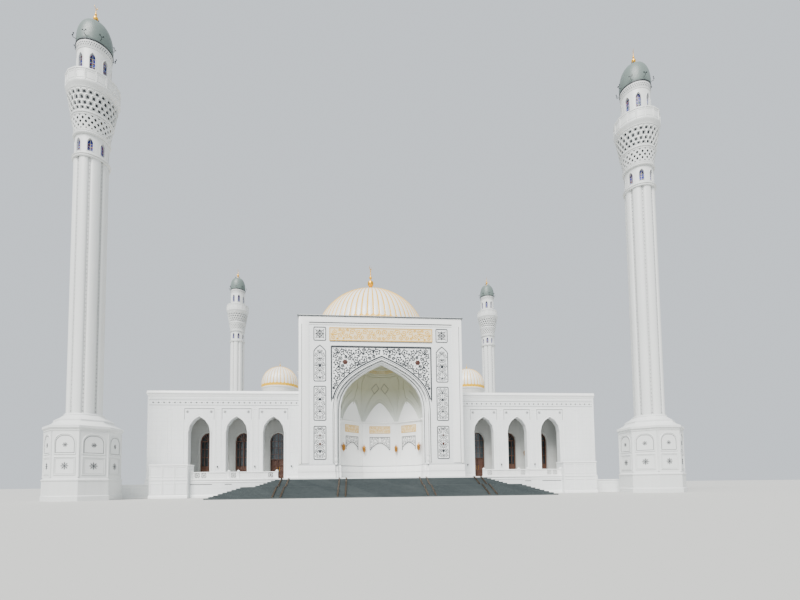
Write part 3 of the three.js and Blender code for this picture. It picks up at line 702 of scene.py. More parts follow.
# a spiral stem in each circle: the reach shrinks from the rim to a fifth of it while the
# angle makes its turns, and the stem thins as it winds in; leaves stand along its outside
def scrollWork(circles, look, anchor=(0.0, 0.0)):
    parts, leafAt, leafHeading, leafSize, buds, budSize = [], [], [], [], [], []
    s = np.linspace(0, 1, look["steps"])
    for index, (cx, cz, size) in enumerate(circles):
        hand, start = 1 if index % 2 else -1, anchor
        if index:  # a stem starts towards the nearest circle before it
            before = circles[:index]
            start = before[np.argmin(np.hypot(before[:, 0] - cx, before[:, 1] - cz) - before[:, 2])]
        begin = np.arctan2(start[1] - cz, start[0] - cx)
        reach = size * (0.97 - 0.79 * s ** 0.9)
        angle = begin + hand * tau * look["turns"] * s
        path = np.stack([cx + reach * np.cos(angle), 0 * s, cz + reach * np.sin(angle)], -1)
        half = (look["stem"] / 2 * (1.05 - 0.45 * s))[:, None]
        section = np.stack([np.hstack([-half, half, 0.6 * half, -0.6 * half]),
                            np.broadcast_to([-0.001, -0.001, look["rise"], look["rise"]], (len(s), 4))], -1)
        parts.append(carried(path, section, front))
        k = (np.asarray(look["leafSpots"]) * (len(s) - 1)).astype(int)
        leafAt.append(path[k][:, [0, 2]])
        leafHeading.append(angle[k] + hand * look["lean"] * np.where(np.arange(len(k)) % 2, 1.25, 0.85))
        leafSize.append(np.full(len(k), size))
        buds.append((path[-1, 0], path[-1, 2]))
        budSize.append(look["bud"] * size)
    size = np.concatenate(leafSize)
    parts.append(leaves(np.concatenate(leafAt), np.concatenate(leafHeading), look["leaf"] * size,
                        look["leaf"] * look["leafWidth"] * size, look["rise"] * 1.2))
    parts.append(bosses(buds, budSize, look["rise"] * 1.3))
    return parts


def rosette(at, radius, petals, rise, turn=0.0, width=0.36):
    heading = turn + np.arange(petals) * tau / petals
    at = np.asarray(at, float)
    start = at[None] + 0.12 * radius * np.stack([np.cos(heading), np.sin(heading)], -1)
    return [leaves(start, heading, radius * 0.88, radius * width * 0.5, rise), bosses([at], radius * 0.26, rise * 1.3)]


# ---- the portal
portalLook = {
    "face": -3.43, "half": 1.095, "top": 2.39, "floor": 0.2403,
    "border": {"inner": 0.96, "under": 2.306, "rise": 0.007},
    "line": {"half": 0.0045, "rise": 0.0015},
    "arches": [(0.630, 1.05, 1.812, -3.43), (0.595, 1.05, 1.785, -3.40), (0.558, 1.05, 1.768, -3.37)],
    "rope": {"x": 0.6115, "y": -3.4135, "radius": 0.0185, "foot": 0.412, "top": 1.27},
}
spandrelLook = {
    "half": 0.668, "top": 1.983, "frame": 0.0085, "low": 1.282, "arch": (0.668, 1.05, 1.862), "largest": 0.052,
    "smallest": 0.018,
    "scroll": {"steps": 30, "turns": 1.35, "stem": 0.0155, "rise": 0.0022,
               "leafSpots": (0.05, 0.2, 0.35, 0.5, 0.65, 0.8),
               "lean": 0.75, "leaf": 0.5, "leafWidth": 0.56, "bud": 0.27},
    "rosette": (0.487, 1.78), "rosetteSize": 0.042, "pointed": True,
}


# room left in half of the spandrel: to the middle line, the frame, and the arch below
def spandrelRoom(look, arch):
    edge = look["frame"] * 1.6
    right = arch[arch[:, 0] >= 0]
    right = right[np.argsort(right[:, 1])]

    def room(x, z):
        away = np.min(np.hypot(x[..., None] - right[:, 0], z[..., None] - right[:, 1]), axis=-1)
        above = x > np.interp(z, right[:, 1], right[:, 0], right=0.0)
        gaps = [x - 0.004, look["half"] - edge - x, look["top"] - edge - z, np.where(above, away, -away) - edge]
        if "rosette" in look:
            gaps.append(np.hypot(x - look["rosette"][0], z - look["rosette"][1]) - look["rosetteSize"])
        return np.minimum.reduce(gaps)
    return room


# the frame of a spandrel: the line over the arch, and the upright lines joined at the top
def spandrelFrame(look, arch):
    half, low, top = look["half"], look["low"], look["top"]
    section = flatBand(look["frame"], 0.003)
    lines = [band(arch, section), band([(half, low), (half, top), (-half, top), (-half, low)], section)]
    if look.get("pointed"):
        wide = look["frame"]
        tip = [(half - wide, low), (half + wide, low), (half + wide * 0.2, low - wide * 5)]
        lines += bothSides([plate(tip, 0.003)])
    return lines


def makeSpandrel():
    look, face = spandrelLook, portalLook["face"]
    arch = bowedLine(*look["arch"], steps=44)
    room = spandrelRoom(look, arch)
    xs, zs = np.linspace(0, look["half"], 136), np.linspace(1.2, look["top"], 156)
    circles = packCircles(room, xs, zs, look["largest"], look["smallest"])

    def roomLeft(x, z):
        return np.minimum.reduce([room(x, z)] + [np.hypot(x - cx, z - cz) - size for cx, cz, size in circles])
    small = packCircles(roomLeft, xs, zs, 0.034, 0.010)
    parts = scrollWork(circles, look["scroll"], anchor=(look["half"], 1.3))
    heading = np.arctan2(small[:, 1] - 1.4, small[:, 0])
    start = small[:, :2] - 0.9 * small[:, 2:] * np.stack([np.cos(heading), np.sin(heading)], -1)
    parts.append(leaves(start, heading, 1.9 * small[:, 2], 0.78 * small[:, 2], 0.0025))
    parts = bothSides(parts) + spandrelFrame(look, arch[arch[:, 1] > look["low"]])
    makePiece("portal_spandrel_vines", placed(parts, -face), "greyInlay")
    roses = []
    for sign in (1, -1):
        at = (sign * look["rosette"][0], look["rosette"][1])
        roses += rosette(at, look["rosetteSize"], 6, 0.004,
                         width=0.95) + [bosses([at], look["rosetteSize"] * 0.8, 0.003, 24)]
    makePiece("portal_spandrel_rosettes", placed(roses, -face), "redInlay")
    print("spandrel scrolls:", len(circles), "small leaves:", len(small))


makeSpandrel()

panelLook = {
    "x": 0.82, "half": 0.0775,
    "square": (2.067, 2.245), "pointed": (1.52, 1.92, 1.99), "tall": (0.998, 1.45), "low": (0.484, 0.919),
    "scroll": {"steps": 22, "turns": 1.3, "stem": 0.0078, "rise": 0.0018,
               "leafSpots": (0.1, 0.3, 0.5, 0.7), "lean": 0.8, "leaf": 0.56, "leafWidth": 0.4, "bud": 0.26},
    "darks": ((1.90, 0.011), (1.82, 0.012), (1.726, 0.022), (1.654, 0.011), (1.57, 0.009), (1.366, 0.012),
              (1.277, 0.014), (1.183, 0.010), (1.115, 0.014), (0.880, 0.010), (0.584, 0.019)),
    "reds": ((0.796, 0.013), (0.679, 0.017)),
}


# an upright panel: mirrored scrolls either side of a middle stem that carries blossoms
def panelVines(bottom, top, look, shoulder=None):
    half = look["half"] - 0.010

    def room(x, z):
        gaps = [x - 0.006, half - x, z - bottom - 0.010, top - 0.010 - z]
        if shoulder:
            gaps.append((top - z - (x / half) * (top - shoulder)) * 0.75 - 0.006)
        return np.minimum.reduce(gaps)
    circles = packCircles(room, np.linspace(0, half, 36), np.linspace(bottom, top, 200), 0.031, 0.011)
    parts = bothSides(scrollWork(circles, look["scroll"], anchor=(0.0, bottom)))
    parts.append(band([(0, bottom + 0.012), (0, top - 0.03)], flatBand(0.0022, 0.0015)))
    return parts


# a blossom on the middle stem: a round cup with three petals that point up, and two side leaves
def tulip(z, size):
    heading = tau / 4 + np.array([-0.7, 0.0, 0.7])
    aside = np.array([0.35, tau / 2 - 0.35])
    side = np.array([(1.1 * size, z - 0.3 * size), (-1.1 * size, z - 0.3 * size)])
    return [bosses([(0, z)], size, 0.004), leaves([(0, z)] * 3, heading, 1.9 * size, 0.42 * size, 0.004),
            leaves(side, aside, 1.7 * size, 0.4 * size, 0.003)]


def makeSidePanels():
    look = panelLook
    grey, red = [], []
    half, rim = look["half"], flatBand(0.005, 0.003)
    low, high = look["square"]
    middle = (low + high) / 2
    grey.append(rectBand(-half, half, low, high, rim, 0.008))
    for k in range(4):  # star lattice round a dark heart
        if k % 2:
            grey.append(band(ringLine(0.066, 4, (0, middle), k * tau / 8), flatBand(0.0032, 0.0022), closed=True))
        if k < 2:
            grey.append(band(ringLine(0.042, 4, (0, middle), k * tau / 8), flatBand(0.003, 0.002), closed=True))
    grid = [(sx * 0.052, middle + sz * 0.056) for sx in (-1, 0, 1) for sz in (-1, 0, 1) if sx or sz]
    grey += [bosses(grid, 0.0075, 0.002), bosses([(0, middle)], 0.012, 0.004)] + rosette((0, middle), 0.03, 8, 0.004)
    low, shoulder, high = look["pointed"]
    outline = np.vstack([[(-half, low + 0.012), (-half + 0.012, low), (half - 0.012, low), (half, low + 0.012)],
                         bowedLine(half, shoulder, high + 0.012, 7, bow=1.35)])
    grey += [band(outline, rim, closed=True)] + panelVines(low, high - 0.01, look, shoulder)
    for low, high in (look["tall"], look["low"]):
        grey += [rectBand(-half, half, low, high, rim, 0.010)] + panelVines(low, high, look)
    for key, parts, blossoms, finish in (("inlay", grey, "darks", "greyInlay"), ("blossoms", red, "reds", "redInlay")):
        for z, size in look[blossoms]:
            parts += tulip(z, size)
        both = [part for x in (look["x"], -look["x"]) for part in placed(parts, -portalLook["face"], x=x)]
        makePiece("portal_panels_" + key, both, finish)


makeSidePanels()

goldBandLook = {
    "half": 0.688, "low": 2.07, "high": 2.24,
    "scroll": {"steps": 24, "turns": 1.3, "stem": 0.0135, "rise": 0.003, "leafSpots": (0.1, 0.28, 0.46, 0.64, 0.8),
               "lean": 0.8, "leaf": 0.48, "leafWidth": 0.42, "bud": 0.3},
}


# a frieze: a pale ground, a moulded gold rim and gold scrolls that mirror about the middle
def goldFrieze(half, low, high, largest, scroll, rim=0.006):
    def room(x, z):
        return np.minimum.reduce([x - 0.002, half - rim * 1.6 - x, z - low - rim * 1.6, high - rim * 1.6 - z])
    step = max(0.002, largest / 14)
    circles = packCircles(room, np.arange(0, half, step), np.arange(low, high, step), largest, largest * 0.3)
    gold = bothSides(scrollWork(circles, scroll, anchor=(0.0, low)))
    gold.append(rectBand(-half, half, low, high, roundBand(rim, 0.006)))
    return gold, [plate(rectLine(-half, half, low, high), 0.0015)]


def makePortalBands():
    look, face, border = portalLook, portalLook["face"], portalLook["border"]
    gold, ground = goldFrieze(goldBandLook["half"], goldBandLook["low"], goldBandLook["high"], 0.043,
                              goldBandLook["scroll"])
    foot, middle, half = 0.43, (border["inner"] + look["half"]) / 2, (look["half"] - border["inner"]) / 2
    # dark lines across the portal: one under the gold band, a painted shadow under the border's top lip, and a painted
    # shadow under the spandrel's top frame
    grey = [band([(-end, z), (end, z)], flatBand(thick, rise))
            for end, z, thick, rise in ((0.688, 2.055, 0.004, 0.002), (border["inner"], border["under"],
                                                                       0.0055, 0.009),
                                        (spandrelLook["half"], 1.989, 0.006, 0.0035))]
    # a painted shadow line beside each corner shaft, where the corner is notched
    grey += bothSides([band([(1.056, foot), (1.056, 2.285)], flatBand(0.0025, 0.0085))])
    path = [(middle, foot), (middle, look["top"] - 0.045), (-middle, look["top"] - 0.045), (-middle, foot)]
    white = [band(path, [(-half, -0.001), (half, -0.001), (half, 0.004), (half - 0.01, border["rise"]),
                         (-half + 0.006, border["rise"]), (-half, 0.003)]),
             band([(-0.675, 2.005), (0.675, 2.005)], roundBand(0.006, 0.006))]
    line, bead = flatBand(look["line"]["half"], look["line"]["rise"]), roundBand(0.0075, 0.007, 0.004)
    for halfWidth, spring, apex, plane in look["arches"]:  # a dark line and a round bead on each step of the arch
        for parts, wider, higher, section in ((grey, 0.019, 0.0225, line), (white, 0.0075, 0.009, bead)):
            edge = bowedLine(halfWidth + wider, spring, apex + higher, foot=foot)
            parts += placed([band(edge, section)], face - plane)
    for key, parts, finish in (("gold_scrolls", gold, "friezeGilt"), ("gold_ground", ground, "paleGround"),
                               ("lines_and_painted_shadows", grey, "greyInlay"), ("mouldings", white, "cleanMarble")):
        makePiece("portal_" + key, placed(parts, -face), finish)


makePortalBands()


# plan of the wall foot from the portal's left side round the niche to its right side
def portalFootPlan():
    right = [(0.247, -2.85), (0.558, -3.16), (0.558, -3.37), (0.595, -3.37), (0.595, -3.40), (0.630, -3.40),
             (0.630, -3.43), (1.095, -3.43), (1.095, -3.125)]
    return np.array([(-x, y) for x, y in right[::-1]] + right)


def alongPlan(plan, height, section):
    plan = np.asarray(plan, float)
    path = np.stack([plan[:, 0], plan[:, 1], np.full(len(plan), height)], -1)
    return carried(path, section, upward)


def makePortalFoot():
    plan = portalFootPlan()
    # sideways is to the right of the way along, which is the open side of this plan
    tall = [(-0.001, 0.002), (0.012, 0.002), (0.012, 0.078), (0.008, 0.0825), (0.008, 0.158), (0.004, 0.166),
            (-0.001, 0.170)]
    makePiece("portal_plinth", [alongPlan(plan, portalLook["floor"], tall)], "cleanMarble")
    # the dark lines along the plinth's two steps are painted shadows of the steps
    joint = [(0.0, -0.0012), (0.0135, -0.0012), (0.0135, 0.0012), (0.0, 0.0012)]
    lines = [alongPlan(plan, 0.3195, joint), alongPlan(plan, 0.4095, [(x * 0.55, y) for x, y in joint])]
    makePiece("portal_plinth_painted_shadows", lines, "coping")
    look = portalLook["rope"]
    parts = []
    height = np.linspace(look["foot"] + 0.13, look["top"], 150)
    rope = np.stack([np.full(len(height), look["radius"] * 0.78), height], -1)
    rope = np.vstack([[0.0, height[0]], rope, [0.0, height[-1] + 0.004]])
    bulb = np.array([(0.0, 0.0), (1.0, 0.0), (1.0, 0.10), (0.62, 0.16), (0.72, 0.26), (1.02, 0.42),
                     (1.0, 0.58), (0.66, 0.78), (0.52, 0.88), (0.9, 0.92), (0.9, 1.0),
                     (0.0, 1.0)]) * [look["radius"], 0.13] + [0, look["foot"]]
    capital = np.array([(0.0, 0.0), (look["radius"], 0.0), (look["radius"], 0.02), (0.0, 0.03)]) + [0, look["top"]]
    for sign in (1, -1):
        at = (sign * look["x"], look["y"])
        parts.append(turned(rope, 18, at, ripple=lambda a, h: 1 + 0.16 * np.cos(3 * a - sign * 170 * h)))
        parts.append(turned(bulb, 20, at))
        parts.append(turned(capital, 20, at))
    makePiece("portal_columns", parts, "cleanMarble")
    shaft = [(0.0, 0.42), (0.024, 0.42), (0.024, 0.47), (0.017, 0.49), (0.016, 2.24), (0.022, 2.26),
             (0.023, 2.29), (0.0, 2.29)]
    shafts = [turned(shaft, 20, (sign * 1.077, -3.414)) for sign in (1, -1)]  # on the portal's front corners
    # the shafts' cream colour is painted shade of the notched corners they stand in
    makePiece("portal_corner_shafts", shafts, "creamPaintedShade")
    rim = [(-0.02, 0.0), (0.014, 0.0), (0.014, 0.004), (0.02, 0.007), (0.02, 0.014), (-0.02, 0.014)]
    half, back, face, top = portalLook["half"], -2.53, portalLook["face"], portalLook["top"]
    loop = np.array([(-half, face, top), (half, face, top), (half, back, top), (-half, back, top)])
    makePiece("portal_coping", [carried(loop, rim, upward, closed=True)], "coping")


makePortalFoot()

vaultLook = {"half": 0.558, "centreHalf": 0.247, "straight": 0.15, "depth": 0.46, "spring": 1.05,
             "apex": 1.768, "bow": 2.9,
             "foot": 1.0602, "face": -3.3097, "back": 0.03, "rib": (0.0065, 0.008), "lunette": (0.44, 0.25)}


# a point of the half dome: the niche's plan at share p of its way round, drawn in by the
# arch's own narrowing at the height that share t gives
def vaultPoint(p, t, grow=0.0):
    look = vaultLook
    wide, narrow = look["half"], look["centreHalf"]
    height = look["foot"] + (look["apex"] - look["foot"]) * np.sin(tau / 4 * np.clip(t, 0, 1))
    share = 1 - np.clip((height - look["spring"]) / (look["apex"] - look["spring"]), 0, 1) ** look["bow"]
    share = np.maximum(0.012, share) * (1 + grow / wide)
    x = np.interp(p, [-2.0, -1.5, -0.5, 0.5, 1.5, 2.0], [wide, wide, narrow, -narrow, -wide, -wide])
    y = np.interp(np.abs(p), [0.5, 1.5, 2.0], [look["depth"], look["straight"], 0.0])
    return np.stack([x * share, look["face"] + y * share, height + grow * 0.6 * np.clip(t, 0, 1)], -1)


# a rib along points (p, t) of the vault: its way out is towards the niche's middle axis
def vaultRib(ps, ts, size=1.0):
    half, rise = vaultLook["rib"]
    section = np.array([(-half, -0.002), (half, -0.002), (half * 0.6, rise), (-half * 0.6, rise)]) * size
    path = vaultPoint(ps, ts)
    up = vaultPoint(ps, np.minimum(ts + 0.01, 1.0)) - vaultPoint(ps, np.maximum(ts - 0.01, 0.0))
    across = vaultPoint(ps + 0.02, ts) - vaultPoint(ps - 0.02, ts)
    out = unit(np.cross(up, across))
    out *= np.sign(np.sum(out * (np.array([0.0, vaultLook["face"], 1.2]) - path), axis=1, keepdims=True))
    return carried(path, section, out, side=unit(np.cross(np.gradient(path, axis=0), out)))


def makeVault():
    p = np.concatenate([np.linspace(-2, -1.5, 4)[:-1], np.linspace(-1.5, -0.5, 9)[:-1],
                        np.linspace(-0.5, 0.5, 11)[:-1], np.linspace(0.5, 1.5, 9)[:-1], np.linspace(1.5, 2, 4)])
    t = np.linspace(0, 1, 34)
    grid = vaultPoint(*np.meshgrid(p, t))
    outer = vaultPoint(*np.meshgrid(p, t), grow=vaultLook["back"])
    makePiece("niche_vault_skin", [skin(grid[:, ::-1], outer[:, ::-1])], "vaultPlaster",
              replaced=("niche_vault",), sharp=50)
    ribs, panels = [], []
    w = np.linspace(-1, 1, 25)
    halfSpan, top = vaultLook["lunette"]
    for centre in (-1.0, 0.0, 1.0):  # pointed blind arches over the walls, with a pale field in each
        edge = top * (1 - np.abs(w) ** 1.6)
        for size, widen in ((1.0, 1.0), (0.6, 1.16)):
            ribs.append(vaultRib(centre + widen * halfSpan * w, edge * widen, size))
        field = np.meshgrid(w, np.linspace(0, 1, 8))
        at = (centre + halfSpan * field[0], np.maximum(top * (1 - np.abs(field[0]) ** 1.6), 0.002) * field[1])
        panels.append(skin(vaultPoint(*at, grow=-0.003)[:, ::-1], vaultPoint(*at, grow=0.002)[:, ::-1]))
    lozenges = []
    lozenge = np.array([(-1, 0), (0, 1), (1, 0), (0, -1), (-1, 0)])
    fine = np.linspace(0, 4, 25)
    for sign in (1, -1):
        ps = sign * (0.19 + 0.15 * np.interp(fine, range(5), lozenge[:, 0]))
        lozenges.append(vaultRib(ps, 0.443 + 0.075 * np.interp(fine, range(5), lozenge[:, 1]), 0.8))
        for heights, places in (((0.045, 0.2, 0.32, 0.37), (0.47, 0.38, 0.28, 0.2)),
                                ((0.0, 0.1, 0.26, 0.435, 0.6), (0.5, 0.5, 0.6, 0.85, 1.3)),
                                ((0.0, 0.1, 0.24, 0.38), (1.5, 1.5, 1.42, 1.3)),
                                ((0.21, 0.32, 0.44, 0.52), (1.0, 1.0, 1.12, 1.4))):
            ts = np.linspace(heights[0], heights[-1], 16)
            ribs.append(vaultRib(sign * np.interp(ts, heights, places), ts, 0.9))
    ribs.append(vaultRib(np.zeros(8), np.linspace(0.52, 0.62, 8), 0.8))
    for level, reach, size in ((0.62, 1.9, 0.8), (0.66, 1.95, 0.6), (0.80, 1.95, 0.8)):
        ribs.append(vaultRib(np.linspace(-reach, reach, 60), np.full(60, level), size))
    makePiece("niche_vault_ribs", ribs, "vaultPlaster")
    makePiece("niche_vault_lozenges", lozenges, "vaultDark")
    makePiece("niche_vault_fields", panels, "cleanMarble")
    wave = np.linspace(-1.7, 1.7, 150)
    gold = [vaultRib(wave, 0.715 + 0.028 * np.sin(wave * 15 + phase), 0.55) for phase in (0, tau / 2)]
    makePiece("niche_vault_gold", gold, "vaultGilt")


makeVault()

nicheLook = {
    "cornice": 1.033, "goldLow": 0.889, "goldHigh": 0.986, "panelTop": 0.828, "panelLow": 0.64,
    "arch": (0.165, 0.54, 0.75),
    "scroll": {"steps": 18, "turns": 1.25, "stem": 0.0045, "rise": 0.0016, "leafSpots": (0.1, 0.35, 0.6), "lean": 0.8,
               "leaf": 0.5, "leafWidth": 0.36, "bud": 0.22},
    "facets": [((0.0, -2.85), 0.0, 0.148, 0.144), ((0.4025, -3.005), -tau / 8, 0.128, 0.118),
               ((-0.4025, -3.005), tau / 8, 0.128, 0.118)],
}


def makeNiche():
    plan = [(-0.558, -3.309), (-0.558, -3.16), (-0.247, -2.85), (0.247, -2.85), (0.558, -3.16), (0.558, -3.309)]
    look = nicheLook
    profile = [(-0.002, -0.012), (0.006, -0.010), (0.009, -0.003), (0.016, 0.002), (0.018, 0.010), (0.012, 0.014),
               (0.004, 0.020), (-0.002, 0.022)]
    makePiece("niche_cornice", [alongPlan(plan, look["cornice"], profile)], "cleanMarble")
    gold, ground, grey = [], [], []
    scroll = dict(goldBandLook["scroll"], steps=16, stem=0.005)
    arch = archLine(*look["arch"], steps=24)
    for (x, y), turn, bandHalf, panelHalf in look["facets"]:
        scrolls, plates = goldFrieze(bandHalf, look["goldLow"], look["goldHigh"], 0.03, scroll, 0.004)
        shape = {"half": panelHalf, "low": look["panelLow"], "top": look["panelTop"], "frame": 0.0035}
        xs, zs = np.linspace(0, panelHalf, 60), np.linspace(0.6, look["panelTop"], 90)
        circles = packCircles(spandrelRoom(shape, arch), xs, zs, 0.026, 0.008)
        panel = bothSides(scrollWork(circles, look["scroll"], anchor=(panelHalf, 0.65)))
        panel += spandrelFrame(shape, arch[np.abs(arch[:, 0]) < panelHalf])
        for group, parts in ((gold, scrolls), (ground, plates), (grey, panel)):
            group += movedAll(parts, (x, y, 0), turn)
    makePiece("niche_gold_scrolls", gold, "friezeGilt")
    makePiece("niche_gold_ground", ground, "paleGround")
    makePiece("niche_panels_inlay", grey, "greyInlay")


makeNiche()

lampLook = {"height": 0.13, "radius": 0.0215, "reach": 0.034}


# a gilded wall lamp: a fluted lantern with a pointed cap and pendant on a curled bracket
def wallLamp(look):
    h, r, reach = look["height"], look["radius"], look["reach"]
    profile = np.array([(0.0, -0.5), (0.18, -0.46), (0.10, -0.40), (0.42, -0.34), (0.85, -0.26),
                        (1.0, -0.12), (1.0, 0.10), (1.12, 0.13), (1.12, 0.17), (0.80, 0.26), (0.34, 0.36),
                        (0.16, 0.42), (0.22, 0.45), (0.0, 0.5)]) * [r, h]
    body = turned(profile, 16, (0.0, -reach), ripple=lambda a, height: 1 + 0.05 * np.cos(8 * a))
    s = np.linspace(0, 1, 14)
    arm = np.stack([0 * s, -reach * np.sin(s * tau / 4), h * (0.1 + 0.42 * np.sin(s * tau / 2.6))], -1)
    points, faces = turned([(0.0, 0.0), (1.0, 0.0), (0.8, 0.3), (0.0, 0.4)], 12)
    rose = np.stack([points[:, 0] * r * 0.7, -points[:, 2] * 0.01, h * 0.12 + points[:, 1] * h * 0.2], -1)
    return [body, carriedInPlane(arm, ringLine(0.0024, 6)), (rose, faces)]


def placedLamps(spots):
    return [part for at, turn in spots for part in movedAll(wallLamp(lampLook), at, turn)]


nicheLamps = [((s * 0.243, -2.852, 0.656), -s * tau / 16) for s in (1, -1)]
nicheLamps += [((s * 0.55, -3.19, 0.66), -s * tau / 4) for s in (1, -1)]
makePiece("niche_lamps", placedLamps(nicheLamps), "lampBrass")
print("portal and niche done")


# ---- domes
domeLook = {"radius": 1.17, "centre": 3.0, "crown": 4.195, "base": 2.99, "ribs": 64, "swell": 0.012,
            "ribHalf": 0.019, "ribRise": 0.013, "bandLow": 2.99, "bandHigh": 3.285, "cusp": 0.075}


# radius of a dome at a share t from its base to its crown: an ellipse quadrant about the
# widest level, entered a little below that level
def domeCurve(look, t):
    start = np.arcsin((look["base"] - look["centre"]) / (look["crown"] - look["centre"]))
    angle = start + (tau / 4 - start) * t
    return look["radius"] * np.cos(angle), look["centre"] + (look["crown"] - look["centre"]) * np.sin(angle)


# gores between ribs bulge by swell * sqrt|sin(ribs a / 2)|, fading at the crown; ribs are
# half round bars along the meridians; the foot band rises to a point at each rib
def ribbedDome(look, at=(0.0, 0.0), steps=40, perRib=6, ribSteps=34):
    t = np.linspace(0, 0.985, steps)
    radius, height = domeCurve(look, t)
    count = look["ribs"] * perRib
    angle = np.arange(count) * tau / count
    fade = np.clip(radius / look["radius"], 0, 1)
    gore = look["swell"] * np.sqrt(np.abs(np.sin(angle * look["ribs"] / 2)))[None]
    swell = 1 + gore * fade[:, None] ** 0.5

    def surface(r, k):
        return np.stack([at[0] + r * k * np.cos(angle), at[1] + r * k * np.sin(angle), height[:, None] + 0 * angle],
                        -1)
    points = surface(radius[:, None], swell)
    rows = len(points)
    tip = np.array([[at[0], at[1], look["crown"]]])
    flat = np.vstack([points.reshape(-1, 3), tip])
    here = np.arange(count)
    faces = [gridFaces(rows, count, wrapCols=True),
             np.stack([here + (rows - 1) * count, (here + 1) % count + (rows - 1) * count,
                       np.full(count, rows * count)], -1),
             here[None, ::-1]]
    ribs = []
    tr = np.linspace(0, 0.97, ribSteps)
    rr, hh = domeCurve(look, tr)
    slope = unit(np.gradient(np.stack([rr, hh], -1), axis=0))
    thin = np.clip(rr / look["radius"], 0.12, 1)[:, None]
    section = np.array([(-1, -0.35), (1, -0.35), (0.8, 0.55), (0.3, 1.0), (-0.3, 1.0), (-0.8, 0.55)])
    section = np.stack([section[:, 0] * look["ribHalf"] * thin, section[:, 1] * look["ribRise"] * np.sqrt(thin)], -1)
    for k in range(look["ribs"]):
        a = k * tau / look["ribs"]
        path = np.stack([at[0] + rr * np.cos(a), at[1] + rr * np.sin(a), hh], -1)
        out = np.stack([slope[:, 1] * np.cos(a), slope[:, 1] * np.sin(a), -slope[:, 0]], -1)
        side = np.tile([-np.sin(a), np.cos(a), 0.0], (len(tr), 1))
        ribs.append(carried(path, section, out, side=side))
    # the foot band: its upper edge is a round scallop in each gore and a point at each rib
    v = np.linspace(0, 1, 7)[:, None]
    wave = np.abs(np.mod(angle * look["ribs"] / tau, 1.0) - 0.5) * 2
    edge = look["bandHigh"] + look["cusp"] * wave ** 2.5
    level = look["bandLow"] + (edge[None] - look["bandLow"]) * v
    lift = (level - look["centre"]) / (look["crown"] - look["centre"])
    r = look["radius"] * np.sqrt(np.maximum(0, 1 - lift ** 2))

    def ring(extra):
        reach = r * (1 + gore) + extra
        return np.stack([at[0] + reach * np.cos(angle), at[1] + reach * np.sin(angle), level], -1)
    ribs.append(skin(ring(0.005 * look["radius"]), ring(-0.003), wrapCols=True))
    return [(flat, faces)], ribs


# a gilded finial: collar, large ball, neck, small ball and stem, then a crescent whose
# bar thickens from its tips to its middle
def finialParts(bottom, height, at=(0.0, 0.0), count=28):
    shape = np.array([(0.0, 0.0), (0.085, 0.0), (0.085, 0.02), (0.06, 0.05), (0.045, 0.10), (0.04, 0.17),
                      (0.055, 0.20), (0.06, 0.215), (0.05, 0.228), (0.085, 0.25), (0.102, 0.285), (0.1055, 0.331),
                      (0.102, 0.377), (0.085, 0.41), (0.05, 0.435), (0.025, 0.447), (0.018, 0.48), (0.025, 0.505),
                      (0.044, 0.525), (0.05, 0.552), (0.044, 0.579), (0.025, 0.598), (0.014, 0.615), (0.012, 0.66),
                      (0.024, 0.67), (0.012, 0.68), (0.010, 0.76), (0.02, 0.77), (0.022, 0.78), (0.01, 0.795),
                      (0.008, 0.84), (0.0, 0.85)])
    parts = [turned(shape * height + [0, bottom], count, at)]
    big, turn = 0.078 * height, 1.13
    a = np.linspace(-2.35, 2.35, 29)
    path = np.stack([at[0] + big * np.sin(a) * np.cos(turn), at[1] + big * np.sin(a) * np.sin(turn),
                     bottom + height * 0.93 - big * np.cos(a)], -1)
    thick = big * (0.045 + 0.19 * np.cos(a / 2.35 * tau / 4) ** 1.4)
    ring = np.arange(8) * tau / 8
    section = np.stack([thick[:, None] * np.cos(ring), 0.62 * thick[:, None] * np.sin(ring)], -1)
    parts.append(carried(path, section, np.array([np.sin(turn), -np.cos(turn), 0.0])))
    return parts


def makeMainDome():
    shell, ribs = ribbedDome(domeLook)
    foot = [(1.085, 2.9603), (1.188, 2.9603), (1.197, 2.972), (1.188, 2.984), (1.188, 2.99), (1.115, 2.99)]
    makePiece("main_dome_gores", shell + [turned(foot, 96, ring=True)], "domeWhite", replaced=("main_dome",))
    for points, faces in rosette((0, 0), 0.17, 16, 0.012):  # a star laid on the crown
        lift = domeLook["crown"] - 0.436 * np.hypot(points[:, 0], points[:, 2]) ** 2 - points[:, 1]
        ribs.append((np.stack([points[:, 0], points[:, 2], lift], -1), faces))
    makePiece("main_dome_ribs", ribs, "domeGilt")
    makePiece("main_dome_finial", finialParts(4.19, 0.586), "gilding", replaced=("main_finial",))


makeMainDome()

smallDomeLook = {"radius": 0.300, "centre": 1.85, "crown": 2.16, "base": 1.79, "ribs": 32, "swell": 0.02,
                 "ribHalf": 0.0075,
                 "ribRise": 0.006, "bandLow": 1.79, "bandHigh": 1.83, "cusp": 0.02, "offset": 1.62, "drum": 0.285}


